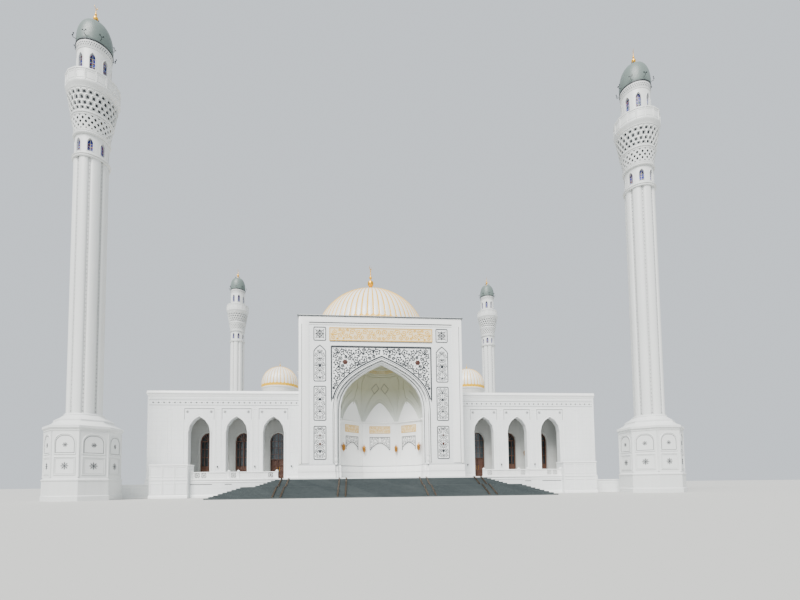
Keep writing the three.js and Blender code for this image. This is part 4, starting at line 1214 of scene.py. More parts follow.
def makeSmallDomes():
    look = smallDomeLook
    radius = look["drum"]
    profile = [(0.0, 1.3806), (0.298, 1.3806), (0.298, 1.41), (0.287, 1.42), (0.285, 1.44), (0.285, 1.735),
               (0.292, 1.745), (0.292, 1.755), (0.305, 1.77), (0.307, 1.785), (0.300, 1.7905), (0.0, 1.7905)]
    wall = [(radius, 1.3), (radius, 1.8)]
    arch = wrapped(archBand(0.048, 1.60, 1.685, roundBand(0.005, 0.006), 7, foot=1.46), wall, radius)
    pane = wrapped(plate(archLine(0.034, 1.595, 1.665, 5, foot=1.475), 0.0012), wall, radius)
    for name, (sx, sy) in corners.items():
        at = (sx * look["offset"], sy * look["offset"])
        shell, ribs = ribbedDome(look, at, steps=20, perRib=5, ribSteps=16)
        frames, panes = (movedAll(around([part], 12), (*at, 0)) for part in (arch,
                                                                             pane))  # blind arches round the drum
        node = "small_dome_" + name
        makePiece(node + "_shell", shell + [turned(profile, 64, at)] + frames, "domeWhite", replaced=(node,))
        makePiece(node + "_panes", panes, "stainedGlass")
        makePiece(node + "_ribs", ribs + finialParts(2.155, 0.105, at, 14), "domeGilt")


makeSmallDomes()
print("domes done")


# ---- building parts that repeat round the house
# points where rays from a centre leave a closed outline that all of them can see
def raysTo(outline, centre, angle):
    start = np.asarray(outline, float) - centre
    edge = np.roll(start, -1, 0) - start
    ray = np.stack([np.cos(angle), np.sin(angle)], -1)[:, None]
    cross = ray[..., 0] * edge[:, 1] - ray[..., 1] * edge[:, 0]
    cross = np.where(np.abs(cross) < 1e-12, 1e-12, cross)
    reach = (start[:, 0] * edge[:, 1] - start[:, 1] * edge[:, 0]) / cross
    share = (start[:, 0] * ray[..., 1] - start[:, 1] * ray[..., 0]) / cross
    good = (reach > 0) & (share > -1e-6) & (share < 1 + 1e-6)
    return centre + ray[:, 0] * np.min(np.where(good, reach, 1e9), axis=1)[:, None]


# joins vertices that lie in one place
def welded(parts):
    points = np.concatenate([p for p, _ in parts])
    _, first, where = np.unique(np.round(points, 6), axis=0, return_index=True, return_inverse=True)
    faces, start = [], 0
    for p, groups in parts:
        faces += [where.ravel()[group + start] for group in groups]
        start += len(p)
    return points[first], faces


# a round wall with a pointed window let into each of its sectors. The wall round a window
# is laid along rays from the window's middle; the reveal runs back to a flat face
def windowDrum(look, inner=0.0, rows=4):
    radius, count = look["radius"], look["count"]
    halfWidth, sill, spring, apex, face = look["window"]
    half = radius * tau / count / 2
    window = archLine(halfWidth, spring, apex, 6, foot=sill)
    sector = np.array([(-half, look["low"]), (half, look["low"]), (half, look["high"]), (-half, look["high"])])
    centre = np.array([0.0, (sill + apex) / 2])
    marks = np.vstack([window, sector]) - centre
    angle = np.unique(np.round(np.append(np.arctan2(marks[:, 1], marks[:, 0]) % tau, np.arange(16) * tau / 16), 6))
    hole, rim = raysTo(window, centre, angle), raysTo(sector, centre, angle)
    flat = hole[None] + (rim - hole)[None] * np.linspace(0, 1, rows)[:, None, None]
    turn = flat[..., 0] / radius
    wall = np.stack([radius * np.sin(turn), -radius * np.cos(turn), flat[..., 1]], -1)
    faces = gridFaces(rows, len(angle), wrapCols=True)[:, ::-1]
    back = np.stack([wall[0, :, 0], np.full(len(angle), -face), wall[0, :, 2]], -1)
    total = len(angle)
    reveal = (np.vstack([wall[0], back]), [gridFaces(2, total, wrapCols=True), (np.arange(total) + total)[None]])
    parts = around([(wall.reshape(-1, 3), [faces]), reveal], count)
    for level, up in ((look["low"], False), (look["high"], True)):
        edge = np.unique(np.round(rim[np.abs(rim[:, 1] - level) < 1e-6][:, 0], 6))[:-1] / radius
        ring = (edge[None] + np.arange(count)[:, None] * tau / count).ravel() - tau / 4
        circle = np.stack([np.cos(ring), np.sin(ring), 0 * ring], -1)
        outer, inside = circle * radius + [0, 0, level], circle * inner + [0, 0, level]
        here = np.arange(len(ring))
        after = (here + 1) % len(ring)
        if inner:
            lid = np.stack([here, after, after + len(ring), here + len(ring)], -1)
            parts.append((np.vstack([outer, inside]), [lid if up else lid[:, ::-1]]))
            if up:
                low = inside - [0, 0, look["high"] - look["low"]]
                parts.append((np.vstack([inside, low]), [lid]))
        else:
            lid = np.stack([here, after, np.full(len(ring), len(ring))], -1)
            parts.append((np.vstack([outer, [[0, 0, level]]]), [lid if up else lid[:, ::-1]]))
    return welded(parts)


# a bead round each window of a drum, laid on its round wall, and a pane in each recess
def windowTrim(look, bead, margin=0.004):
    halfWidth, sill, spring, apex, face = look["window"]
    radius, wide = look["radius"], halfWidth + margin
    wall = [(radius, look["low"] - 1), (radius, look["high"] + 1)]
    lines = [archBand(wide, spring, apex + margin * 1.3, bead, foot=sill), band([(-wide, sill), (wide, sill)], bead)]
    pane = plate(archLine(halfWidth * 1.01, spring, apex, 5, foot=sill - 0.001), 0.0015)
    return (around([wrapped(line, wall, radius) for line in lines], look["count"]),
            around([pane], look["count"], face))


def windowBars(look, spacing):
    halfWidth, sill, spring, apex, face = look["window"]
    bars = [block((-0.0012, 0.0012), (-0.0035, -0.001), (sill, apex - 0.002))]
    bars += [block((-halfWidth, halfWidth), (-0.003, -0.001), (z - 0.001, z + 0.001))
             for z in np.arange(sill + spacing, spring + 0.01, spacing)]
    return around(bars, look["count"], face)


# ---- minarets
minaretLook = {
    "offset": 3.63, "octagon": 1 / np.cos(tau / 16),
    "tower": {"radius": 0.180, "count": 8, "low": 4.21, "high": 4.47, "window": (0.030, 4.25, 4.355, 4.415, 0.150)},
    "lantern": {"radius": 0.186, "count": 8, "low": 5.0553, "high": 5.585, "window": (0.032, 5.30, 5.44, 5.51, 0.156)},
    "lattice": {"around": 20, "low": 4.522, "high": 4.682, "rows": 4, "strap": 0.0118, "reference": 0.2},
    "tiers": [(4.742, 4.790, 24, 0.0), (4.790, 4.850, 24, 0.5), (4.850, 4.918, 24, 0.0), (4.918, 4.970, 24, 0.5)],
    "sides": 16,
}


def flutedColumn():
    valley, outer, strip = 0.172, 0.190, 0.062
    u = np.concatenate([[0, strip * 0.98, strip], np.linspace(strip, tau / 8 - strip, 13)[1:],
                        [tau / 8 - strip * 0.98]])
    v = np.clip((u - strip) / (tau / 8 - 2 * strip), 0, 1)
    reach = valley + (outer - valley) * np.sqrt(np.maximum(0, 1 - (2 * v - 1) ** 2)) * (u >= strip)
    angle = (u[None] + (np.arange(8)[:, None] + 0.5) * tau / 8).ravel() - tau / 4
    ring = np.stack([np.tile(reach, 8) * np.cos(angle), np.tile(reach, 8) * np.sin(angle)], -1)
    levels = np.array([0.99, 2.0, 3.0, 4.19])
    points = np.concatenate([np.column_stack([ring, np.full(len(ring), z)]) for z in levels])
    lid = np.arange(len(ring))[None]
    return points, [gridFaces(len(levels), len(ring), wrapCols=True), lid[:, ::-1], lid + 3 * len(ring)]


def torus(radius, half, rise, level, count=64):
    return turned(ringLine(1.0, 10) * [rise, half] + [radius, level], count, ring=True)


def pedestalParts(look):
    octagon, face = look["octagon"], 0.36
    profile = np.array([(0, 0), (0.38, 0), (0.38, 0.055), (0.372, 0.063), (0.372, 0.225), (0.378, 0.232),
                        (0.378, 0.245), (0.364, 0.255), (face, 0.27), (face, 0.80), (0.366, 0.806), (0.366, 0.818),
                        (0.38, 0.836), (0.38, 0.862), (0.345, 0.88), (0.300, 0.905), (0.285, 0.925), (0.285, 0.945),
                        (0.225, 0.985), (0.205, 1.005), (0, 1.005)]) * [octagon, 1]
    half = face * np.tan(tau / 16)
    wide, narrow = half - 0.036, half - 0.050
    bead, line = roundBand(0.006, 0.006), flatBand(0.0022, 0.0012)
    frames = [rectBand(-wide, wide, 0.30, 0.50, bead), rectBand(-narrow, narrow, 0.314, 0.486, flatBand(0.003, 0.003)),
              archBand(wide, 0.67, 0.765, bead, 6, foot=0.535), band([(-wide, 0.535), (wide, 0.535)], bead)]
    lines = [archBand(narrow, 0.662, 0.745, line, 6, foot=0.549), band([(-narrow, 0.549), (narrow, 0.549)], line)]
    lines += rosette((0, 0.40), 0.05, 8, 0.003) + rosette((0, 0.64), 0.035, 8, 0.003)
    post = [(0, 0.272), (0.012, 0.272), (0.009, 0.29), (0.008, 0.78), (0.012, 0.798), (0, 0.798)]
    posts = around([turned(post, 10, (0.357 * octagon, 0.0))], 8, shift=0.5)
    return [turned(profile, 8, phase=tau / 16)] + around(frames, 8, face) + posts, around(lines, 8, face)


def stripParts():
    z = np.arange(1.035, 4.16, 0.052)
    tick = z[1:] - 0.003
    flat = [leaves(np.stack([0 * z, z], -1), tau / 4, 0.046, 0.0085, 0.0022),
            bosses(np.stack([0 * tick, tick], -1), 0.0042, 0.002, 6)]
    flat += bothSides([band([(0.0095, 1.012), (0.0095, 4.175)], flatBand(0.0008, 0.0014))])
    return around(flat, 8, 0.1712, 0.5)


def latticeParts(look, profile):
    spec = look["lattice"]
    pitch = tau * spec["reference"] / spec["around"]
    rise = (spec["high"] - spec["low"]) / spec["rows"] * 2
    z = np.linspace(spec["low"], spec["high"], 9)
    lines = [np.stack([hand * (z - spec["low"]) / rise * pitch, z], -1) for hand in (1, -1)]
    straps = [wrapped(band(line, flatBand(spec["strap"], 0.006)), profile, spec["reference"]) for line in lines]
    return around(straps, spec["around"])


# small pointed niches that stand shoulder to shoulder, each tier half a step round; a dark plate in each is painted
# shade of the niche's hollow
def tierParts(look, profile):
    white, dark = [], []
    reference = 0.25
    for low, high, count, shift in look["tiers"]:
        half = tau * reference / count / 2
        arch = archLine(half * 0.84, low + 0.55 * (high - low), high - 0.008, 5, foot=low + 0.004)
        hood = band(arch, [(-half * 0.16, -0.004), (half * 0.16, -0.004), (half * 0.15, 0.011), (-half * 0.12, 0.014)])
        # the dark plate inside each hood is painted shade of the hollow
        hole = plate(archLine(half * 0.42, low + 0.45 * (high - low), low + 0.72 * (high - low), 4,
                              foot=low + 0.2 * (high - low)), 0.003)
        for part, group in ((hood, white), (hole, dark)):
            group += around([wrapped(part, profile, reference)], count, shift=shift)
    return white, dark


def parapetParts(look):
    sides, face = look["sides"], 0.286
    corner = 1 / np.cos(tau / 2 / sides)
    under = np.array([(0, 4.985), (0.262, 4.985), (0.268, 5.004), (0.280, 5.022), (0.289, 5.044), (0.292, 5.050),
                      (0.292, 5.066), (face, 5.072), (face, 5.198), (0.292, 5.204), (0.292, 5.218), (0.276, 5.218),
                      (0.276, 5.0553), (0, 5.0553)]) * [corner, 1]
    half = face * np.tan(tau / 2 / sides)
    panel = rectBand(-half + 0.012, half - 0.012, 5.092, 5.180, roundBand(0.003, 0.003))
    post = [(0, 5.072), (0.008, 5.072), (0.007, 5.086), (0.007, 5.186), (0.009, 5.198), (0.009, 5.218), (0, 5.218)]
    return [turned(under, sides, phase=tau / 2 / sides)] + around([panel], sides, face) + around(
        [turned(post, 8, (0.283 * corner, 0))], sides, shift=0.5)


# a floodlight bracket: an upright stem that forks into two heads
def bracketPart(reach, size):
    stem = block((-0.0022, 0.0022), (-reach, 0.006), (-0.0022, 0.0022))
    rise = block((-0.0022, 0.0022), (-reach - 0.002, -reach + 0.002), (-0.002, size))
    parts = [stem, rise]
    for sign in (1, -1):
        arm = carried(np.array([(0, -reach, size * 0.55), (sign * size * 0.5, -reach, size * 1.05)]),
                      [(-0.0018, -0.0018), (0.0018, -0.0018), (0.0018, 0.0018), (-0.0018, 0.0018)], front)
        parts += [arm, moved(block((-0.006, 0.006), (-0.007, 0.005), (-0.004, 0.006)),
                             (sign * size * 0.55, -reach, size * 1.1))]
    return parts


def minaretGroups():
    look = minaretLook
    body, lines = pedestalParts(look)
    walls, glass = {}, []
    for key, spacing in (("tower", 0.035), ("lantern", 0.05)):
        frames, panes = windowTrim(look[key], roundBand(0.0045, 0.004))
        walls[key] = movedAll([windowDrum(look[key])] + frames + windowBars(look[key], spacing), turn=tau / 16)
        glass += movedAll(panes, turn=tau / 16)
    rings = {
        "shaft": ((0.196, 0.016, 0.012, 1.012), (0.193, 0.012, 0.012, 4.182), (0.198, 0.009, 0.012, 4.203)),
        "gallery": ((0.190, 0.014, 0.016, 4.477), (0.188, 0.010, 0.012, 4.503), (0.190, 0.006, 0.006, 4.520),
                    (0.216, 0.010, 0.010, 4.690), (0.222, 0.012, 0.012, 4.714), (0.221, 0.006, 0.006, 4.733),
                    (0.262, 0.006, 0.008, 4.977, 72), (0.268, 0.005, 0.007, 4.992, 72)),
        "lantern": ((0.190, 0.012, 0.012, 5.070), (0.187, 0.005, 0.005, 5.572)),
    }
    rings = {key: [torus(*ring) for ring in group] for key, group in rings.items()}
    lattice = [(0.184, 4.50), (0.190, 4.53), (0.200, 4.60), (0.213, 4.67), (0.216, 4.69)]
    backing = turned([(0.0, 4.46)] + [(r - 0.006, z) for r, z in lattice] + [(0.0, 4.70)], 64)
    flare = [(0.214, 4.70), (0.221, 4.76), (0.231, 4.82), (0.243, 4.89), (0.255, 4.95), (0.262, 4.985)]
    hoods, nicheShadePlates = tierParts(look, flare)
    gallery = walls["tower"] + rings["gallery"] + latticeParts(look, lattice) + hoods + parapetParts(look)
    gallery.append(turned([(0.0, 4.69)] + flare + [(0.0, 4.99)], 72))
    cornice = [(0, 5.576), (0.186, 5.576), (0.188, 5.590), (0.193, 5.597), (0.193, 5.617), (0.196, 5.624),
               (0.196, 5.638), (0.198, 5.646), (0.198, 5.66), (0, 5.66)]
    dentils = []
    for radius, low, shift in ((0.1935, 5.601, 0.0), (0.1965, 5.626, 0.5)):
        dentil = block((-0.0055, 0.0055), (-0.0012, 0.003), (low, low + 0.012))
        dentils += around([dentil], 48, radius, shift)
    capCurve = [(0, 5.6603), (0.195, 5.6603), (0.200, 5.68), (0.2025, 5.71), (0.2025, 5.76), (0.200, 5.80),
                (0.1935, 5.85), (0.182, 5.90), (0.165, 5.947), (0.1505, 5.975), (0.1345, 5.998), (0.108, 6.022),
                (0.075, 6.039), (0.035, 6.050), (0, 6.053)]
    iron = [torus(0.198, 0.010, 0.008, 5.670)] + around(movedAll(bracketPart(0.040, 0.034), (0, 0, 5.705)), 8, 0.198)
    iron += around(movedAll(bracketPart(0.018, 0.020), (0, 0, 6.036)), 4, 0.055, 0.5)
    return {
        "shaft": (body + [flutedColumn()] + rings["shaft"], "minaretMarble", ("shaft",)),
        "gallery_stone": (gallery, "minaretMarble", ("gallery",)),
        "lantern_stone": (walls["lantern"] + rings["lantern"] + [turned(cornice, 64)], "minaretMarble", ("lantern",)),
        "inlay": (lines + stripParts() + [backing] + nicheShadePlates + dentils, "greyInlay", ()),
        "dome": ([turned(capCurve, 64)], "capTileAndPaintedShade", ("cap",)),
        "finial": (finialParts(6.045, 0.264, (0.0, 0.0), 20), "gilding", ()),
        "panes": (glass, "stainedGlass", ()),
        "lamps": (iron, "darkIron", ()),
    }


def makeMinarets():
    groups = minaretGroups()
    for corner, (sx, sy) in corners.items():
        at = (sx * minaretLook["offset"], sy * minaretLook["offset"], 0)
        for key, (parts, finish, nodes) in groups.items():
            makePiece("minaret_%s_%s_look" % (corner, key), movedAll(parts, at), finish,
                      replaced=["minaret_%s_%s" % (corner, node) for node in nodes])


makeMinarets()
print("minarets done")


# ---- the arcade, the hall and its windows
wingLook = {
    "gallery": 3.12, "hall": 2.74, "doors": (-1.47, 1.47), "portalSide": 1.0953,
    "bay": (0.14, 0.88, 1.09), "window": (0.11, 0.33, 0.79, 0.912),
    "bays": {"front": [k * 0.49 for k in (-5, -4, -3, 3, 4, 5)], "back": [k * 0.49 for k in range(-5, 6)]},
}


def baysOf(side):
    return wingLook["bays"]["front" if side == "front" else "back"]


def pierLines(side):
    bays = np.array(baysOf(side))
    between = (bays[1:] + bays[:-1]) / 2
    between = between[np.abs(between) > (1.1 if side == "front" else -1)]
    end = 2.835 if side in ("front", "back") else 2.80
    return list(between) + [-end, end] + ([-1.225, 1.225] if side == "front" else [])


# the straight stretches of a side's wall; the portal parts the front
def wallRuns(side, half):
    if side != "front":
        return [(-half, half)]
    return [(wingLook["portalSide"], half), (-half, -wingLook["portalSide"])]


def makeArcade():
    look = wingLook
    halfWidth, spring, apex = look["bay"]
    column = [(0, 0.243), (0.013, 0.243), (0.013, 0.28), (0.009, 0.295), (0.008, 0.86), (0.012, 0.875),
              (0.012, 0.885), (0, 0.885)]
    bayStone = [archBand(halfWidth + margin, spring, apex + margin * 1.35, section, 10, foot=0.25)
                for margin, section in ((0.006, roundBand(0.006, 0.007)), (0.028, flatBand(0.004, 0.003)))]
    bayStone.append(band([(0.205, 0.25), (0.205, 1.21), (-0.205, 1.21), (-0.205, 0.25)], roundBand(0.005, 0.005)))
    bayStone += [turned(column, 10, (x, 0.0)) for x in (0.152, -0.152)]
    bayGrey = [part for x in (0.155, -0.155) for part in rosette((x, 1.155), 0.026, 8, 0.002)]
    bayGrey.append(band([(0.192, 1.05), (0.192, 1.197), (-0.192, 1.197), (-0.192, 1.05)], flatBand(0.0018, 0.0012)))
    cornice = [(-0.001, 1.36), (0.004, 1.364), (0.004, 1.372), (0.010, 1.382), (0.010, 1.392), (0.018, 1.402),
               (0.018, 1.424), (0.014, 1.43), (0.014, 1.4395), (-0.001, 1.4395)]
    plinth = [(-0.001, 0.243), (0.009, 0.243), (0.009, 0.268), (-0.001, 0.275)]
    for side, turn in sides.items():
        stone, grey, iron = [], [], []
        for x in baysOf(side):
            stone += movedAll(bayStone, (x, 0, 0))
            grey += movedAll(bayGrey, (x, 0, 0))
        for x in pierLines(side):
            stone += [rectBand(x - 0.026, x + 0.026, low, high, roundBand(0.0035, 0.0035))
                      for low, high in ((0.285, 0.60), (0.625, 1.19))]
            iron += [turned([(0, 0.4), (0.008, 0.4), (0.009, 0.412), (0.006, 0.422), (0, 0.422)], 10, (x, -0.011)),
                     block((x - 0.002, x + 0.002), (-0.012, 0.001), (0.396, 0.401))]
        for left, right in wallRuns(side, look["gallery"]):
            stone.append(straightRun(left, right, cornice))
            beads = np.arange(left + 0.04, right - 0.02, 0.032)
            stone.append(bosses(np.stack([beads, 0 * beads + 1.345], -1), 0.010, 0.006, 6))
            grey += [band([(left + 0.02, z), (right - 0.02, z)], flatBand(0.0018, 0.0012)) for z in (1.315, 1.245)]
            spots = np.arange(left + 0.07, right - 0.05, 0.07)
            grey.append(leaves(np.stack([spots - 0.022, 0 * spots + 1.28], -1), 0.0, 0.044, 0.010, 0.0018))
            grey.append(leaves(np.stack([spots, 0 * spots + 1.262], -1), tau / 4, 0.036, 0.007, 0.0022))
            grey.append(bosses(np.stack([spots + 0.035, 0 * spots + 1.28], -1), 0.005, 0.0018, 6))
            jambs = [x + end for x in baysOf(side) if left < x < right
                     for end in (-halfWidth - 0.0005, halfWidth + 0.0005)]
            marks = [left] + jambs + [right]
            stone += [straightRun(a, b, plinth) for a, b in zip(marks[::2], marks[1::2])]
        for key, parts, finish in (("mouldings", stone, "cleanMarble"), ("inlay", grey, "greyInlay"),
                                   ("spots", iron, "darkIron")):
            makePiece("arcade_%s_%s" % (side, key), placed(parts, look["gallery"], turn), finish)


makeArcade()


# joinery of a hall window: an arched frame, a mullion, rails and a solid foot panel
def windowJoinery():
    halfWidth, sill, spring, apex = wingLook["window"]
    bar = [(-0.0065, -0.014), (0.0065, -0.014), (0.0065, 0.004), (-0.0065, 0.004)]
    thin = [(-0.004, -0.010), (0.004, -0.010), (0.004, 0.002), (-0.004, 0.002)]
    rail = 0.43
    parts = [archBand(halfWidth - 0.007, spring, apex - 0.009, bar, foot=sill),
             band([(0, sill), (0, apex - 0.012)], bar),
             band([(-halfWidth, sill + 0.0065), (halfWidth, sill + 0.0065)], bar)]
    parts += [band([(-halfWidth + 0.004, z), (halfWidth - 0.004, z)], bar if z == spring else thin)
              for z in (rail, 0.56, 0.68, spring)]
    parts += [band([(x, rail), (x, spring)], thin) for x in (halfWidth / 2, -halfWidth / 2)]
    for k, reach in ((-2, 0.098), (-1, 0.103), (1, 0.103), (2, 0.098)):  # fan bars under the arch
        way = np.array([np.cos(tau / 4 + k * 0.42), np.sin(tau / 4 + k * 0.42)])
        parts.append(band([way * 0.012 + [0, spring], way * reach + [0, spring]], thin))
    parts.append(block((-halfWidth + 0.006, halfWidth - 0.006), (-0.002, 0.006), (sill + 0.006, rail)))
    return parts + bothSides([rectBand(0.014, 0.095, sill + 0.02, 0.417, roundBand(0.003, 0.005))])


def makeHall():
    look = wingLook
    halfWidth, sill, spring, apex = look["window"]
    joinery = placed(windowJoinery(), -0.040)
    ledge = block((-halfWidth - 0.02, halfWidth + 0.02), (-0.016, 0.001), (sill - 0.022, sill - 0.001))
    trim = {foot: [archBand(halfWidth + 0.012, spring, apex + 0.016, roundBand(0.008, 0.009), 10, foot),
                   archBand(halfWidth + 0.034, spring, apex + 0.045, flatBand(0.003, 0.004), 10, foot)]
                   for foot in (0.25, sill)}
    pier = [band([(x, 0.33), (x, 1.05)], roundBand(0.005, 0.006)) for x in (-0.055, 0.055)]
    pier += [band([(x, 0.33), (x, 0.50)], flatBand(0.002, 0.003)) for x in (-0.025, 0.025)]
    for side, turn in sides.items():
        wood, stone = [], []
        for x in baysOf(side):
            door = side == "front" and min(abs(x - place) for place in look["doors"]) < 0.01
            stone += placed(trim[0.25 if door else sill] + ([] if door else [ledge]), x=x)
            wood += [] if door else placed(joinery, x=x)
        middles = [x for x in pierLines(side) if abs(x) < 2.7]
        for x in middles:
            stone += placed(pier, x=x)
        for left, right in wallRuns(side, 2.74 if side in ("front", "back") else 2.66):
            stone += [band([(left, z), (right, z)], roundBand(half, half)) for z,
                      half in ((1.10, 0.008), (1.25, 0.012))]
        lamps = placedLamps([((x, 0, 0.59), 0.0) for x in middles])
        for key, parts, finish in (("joinery", wood, "brownJoinery"), ("mouldings", stone, "hallMarble"),
                                   ("lamps", lamps, "lampBrass")):
            makePiece("hall_%s_%s" % (side, key), placed(parts, look["hall"], turn), finish)


makeHall()


# each leaf carries raised panels and a pull; a fanlight with bars and panes is over each pair
def makeDoors():
    bar = [(-0.003, -0.004), (0.003, -0.004), (0.003, 0.004), (-0.003, 0.004)]
    for side, centre in (("right", 1.47), ("left", -1.47)):
        for wing in ("west", "east"):
            body = "door_%s_leaf_%s" % (side, wing)
            low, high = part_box(body)
            left, right = low[0] + 0.012, high[0] - 0.010
            split, top = low[2] + 0.105, high[2] - 0.015
            wood = []
            for z0, z1 in ((low[2] + 0.02, low[2] + 0.085), (split, top)):
                wood += [rectBand(left, right, z0, z1, roundBand(0.004, 0.005)),
                         rectBand(left + 0.011, right - 0.011, z0 + 0.011, z1 - 0.011, flatBand(0.002, 0.002))]
            wood += rosette(((left + right) / 2, (split + top) / 2), 0.022, 8, 0.003)
            x = (right - 0.004) if wing == "west" else (left + 0.004)
            z = (low[2] + high[2]) / 2
            pull = np.array([(x, 0.001, z - 0.035), (x, -0.007, z - 0.03), (x, -0.009, z), (x, -0.007, z + 0.03),
                             (x, 0.001, z + 0.035)])
            brass = [carriedInPlane(pull, ringLine(0.0018, 6))]
            makePiece("leaf_%s_%s_panels" % (side, wing), placed(wood, -low[1]), "brownJoinery", body=body)
            makePiece("leaf_%s_%s_pull" % (side, wing), placed(brass, -low[1]), "gilding", body=body)
        wood = [band([(x, 0.527), (x, top)], bar) for x, top in ((0, 0.903), (-0.05, 0.86), (0.05, 0.86))]
        wood += [band([(-0.1023, z), (0.1023, z)], bar) for z in (0.60, 0.69, 0.79)]
        panes = [plate(archLine(0.1015, 0.79, 0.9030, 8, foot=0.5275), 0.001, 0.001)]
        makePiece("door_%s_fanlight_bars" % side, placed(wood, 2.705, x=centre), "brownJoinery")
        makePiece("door_%s_fanlight_panes" % side, placed(panes, 2.705, x=centre), "windowGlass")


makeDoors()
print("wings done")


# ---- terrace, stairs and balustrades
def postPart(x, y, floor=0.2403):
    profile = [(0, 0), (0.016, 0), (0.016, 0.012), (0.014, 0.014), (0.0125, 0.018), (0.0125, 0.088), (0.0145, 0.092),
               (0.0155, 0.098), (0.0155, 0.104), (0.012, 0.106), (0, 0.1178)]
    return turned((np.array(profile) + [0, floor]) * [np.sqrt(2), 1], 4, (x, y), phase=tau / 8)


# a square of bars: two squares a half quarter turned, a small ring, and ties to the frame
def pierced(left, right, bottom, top, thick=0.005):
    bar = [(-0.0017, -thick), (0.0017, -thick), (0.0017, thick), (-0.0017, thick)]
    middle, half = np.array([left + right, bottom + top]) / 2, min(right - left, top - bottom) / 2
    parts = [band(ringLine(size * half, count, middle, phase), bar, closed=True)
             for size, count, phase in ((0.86, 4, 0.0), (0.86, 4, tau / 8), (0.36, 8, tau / 16))]
    inner, ties = ringLine(0.33 * half, 8, middle), (ringLine(half, 8, middle), ringLine(1.36 * half, 8, middle))
    return parts + [band([inner[k], ties[k % 2][k]], bar) for k in range(8)]


def plainPanel(left, right, bottom, top):
    inset, face = 0.007, 0.004
    low, high = bottom + inset, top - inset
    count = max(1, int((right - left) / 0.03))
    return [block((left, right), (-face, face), (bottom, top)),
            rectBand(left + inset, right - inset, low, high, roundBand(0.002, 0.0025), away=face)] + [
        band([(x, low), (x, high)], flatBand(0.0012, 0.002), away=face)
        for x in np.linspace(left + inset, right - inset, count + 2)[1:-1]]


# panels fill the rail between posts: squares of lattice beside plain fields
def railSpan(left, right, cells, floor=0.2403):
    low, high = floor + 0.016, floor + 0.080
    rail = [(-0.0085, 0), (-0.0105, 0.003), (-0.0105, 0.008), (-0.006, 0.012), (0.006, 0.012), (0.0105, 0.008),
            (0.0105, 0.003), (0.0085, 0)]
    parts = [block((left, right), (-0.009, 0.009), (floor + 0.002, low)),
             straightRun(left, right, [(out, high + z) for out, z in rail])]
    edges = [left] + [edge for cell in cells for edge in cell[:2]] + [right]
    parts += [block(pair, (-0.006, 0.006), (low - 0.001, high + 0.001)) for pair in zip(edges[::2], edges[1::2])]
    for start, stop, kind in cells:
        parts += pierced(start, stop, low,
                         high) if kind == "lattice" else plainPanel(start, stop, low - 0.001, high + 0.001)
    return parts


def evenCells(left, right, kinds, margin=0.014):
    wide = {"lattice": 0.064}
    room = right - left - margin * (len(kinds) + 1)
    wide["plain"] = (room - wide["lattice"] * kinds.count("lattice")) / max(1, kinds.count("plain"))
    cells, edge = [], left + margin
    for kind in kinds:
        cells.append((edge, edge + wide[kind], kind))
        edge += wide[kind] + margin
    return cells


def makeBalustrades():
    y = -3.385
    spans = [(1.391, 1.855, [(1.4275, 1.4915, "lattice"), (1.510, 1.672, "plain"), (1.690, 1.842, "plain")]),
             (1.879, 1.976, [(1.8955, 1.9595, "lattice")]),
             (2.000, 2.444, [(2.012, 2.248, "plain"), (2.266, 2.330, "lattice"), (2.348, 2.412, "lattice")])]
    right = []
    for left, end, cells in spans:
        right += railSpan(left, end, cells)
    right = movedAll(right, (0, y, 0)) + [postPart(x, y) for x in (1.379, 1.867, 1.988, 2.4557)]
    makePiece("balustrade_front_right_look", right, "cleanMarble", replaced=("balustrade_front_right",))
    makePiece("balustrade_front_left_look", [mirrored(part) for part in right], "cleanMarble",
              replaced=("balustrade_front_left",))
    marks = np.linspace(-2.455, 2.455, 6)
    kinds = ["lattice", "plain", "lattice", "plain", "lattice"]
    long = []
    for a, b in zip(marks[:-1], marks[1:]):
        long += railSpan(a + 0.012, b - 0.012, evenCells(a + 0.012, b - 0.012, kinds))
    back = movedAll(long, (0, y, 0)) + [postPart(x, y) for x in marks]
    for sign in (1, -1):
        span = railSpan(0.012, 0.2397, evenCells(0.012, 0.2397, ["lattice", "plain"]))
        back += [moved(part, (sign * 2.455, y, 0), turn=tau / 4) for part in span] + [postPart(sign * 2.455, -3.1343)]
    for side in ("right", "back", "left"):
        makePiece("balustrade_%s_look" % side, movedAll(back, turn=sides[side]), "cleanMarble",
                  replaced=("balustrade_" + side,))


makeBalustrades()


# pairs of narrow channels for prams run up both flights, laid on the nosings and the rest
stairLook = {"foot": -4.2045, "rise": 0.015, "tread": 0.040, "lower": 9, "rest": 0.145, "landing": -3.5,
             "floor": 0.2403,
             "ramps": (0.478, 0.568, 1.21, 1.30), "rampHalf": 0.0085, "rampThick": 0.0025, "lip": 0.0045}


def rampCourse(look):
    rest = look["foot"] + look["tread"] * (look["lower"] - 1)
    upper = rest + look["rest"]
    height = look["rise"] * look["lower"]
    return np.array([(look["foot"], look["rise"]), (rest, height), (upper - look["tread"], height),
                     (upper, height + look["rise"]), (look["landing"], look["floor"]),
                     (look["landing"] + 0.03, look["floor"])])


def makeRamps():
    look, parts = stairLook, []
    course = rampCourse(look)[::-1]
    half, thick, lip = look["rampHalf"], look["rampThick"], look["lip"]
    channel = [(-half, -0.001), (half, -0.001), (half, lip), (half - 0.0022, lip), (half - 0.0022, thick),
               (0.0022 - half, thick), (0.0022 - half, lip), (-half, lip)]
    for x in [sign * place for place in look["ramps"] for sign in (-1, 1)]:
        parts.append(carriedInPlane(np.column_stack([np.full(len(course), x), course]), channel))
        parts.append(block((x - half, x + half), (look["foot"] - 0.0004, look["foot"] + 0.003),
                           (0.0005, look["rise"] + 0.001)))
    makePiece("stair_ramps", parts, "bronze")


makeRamps()


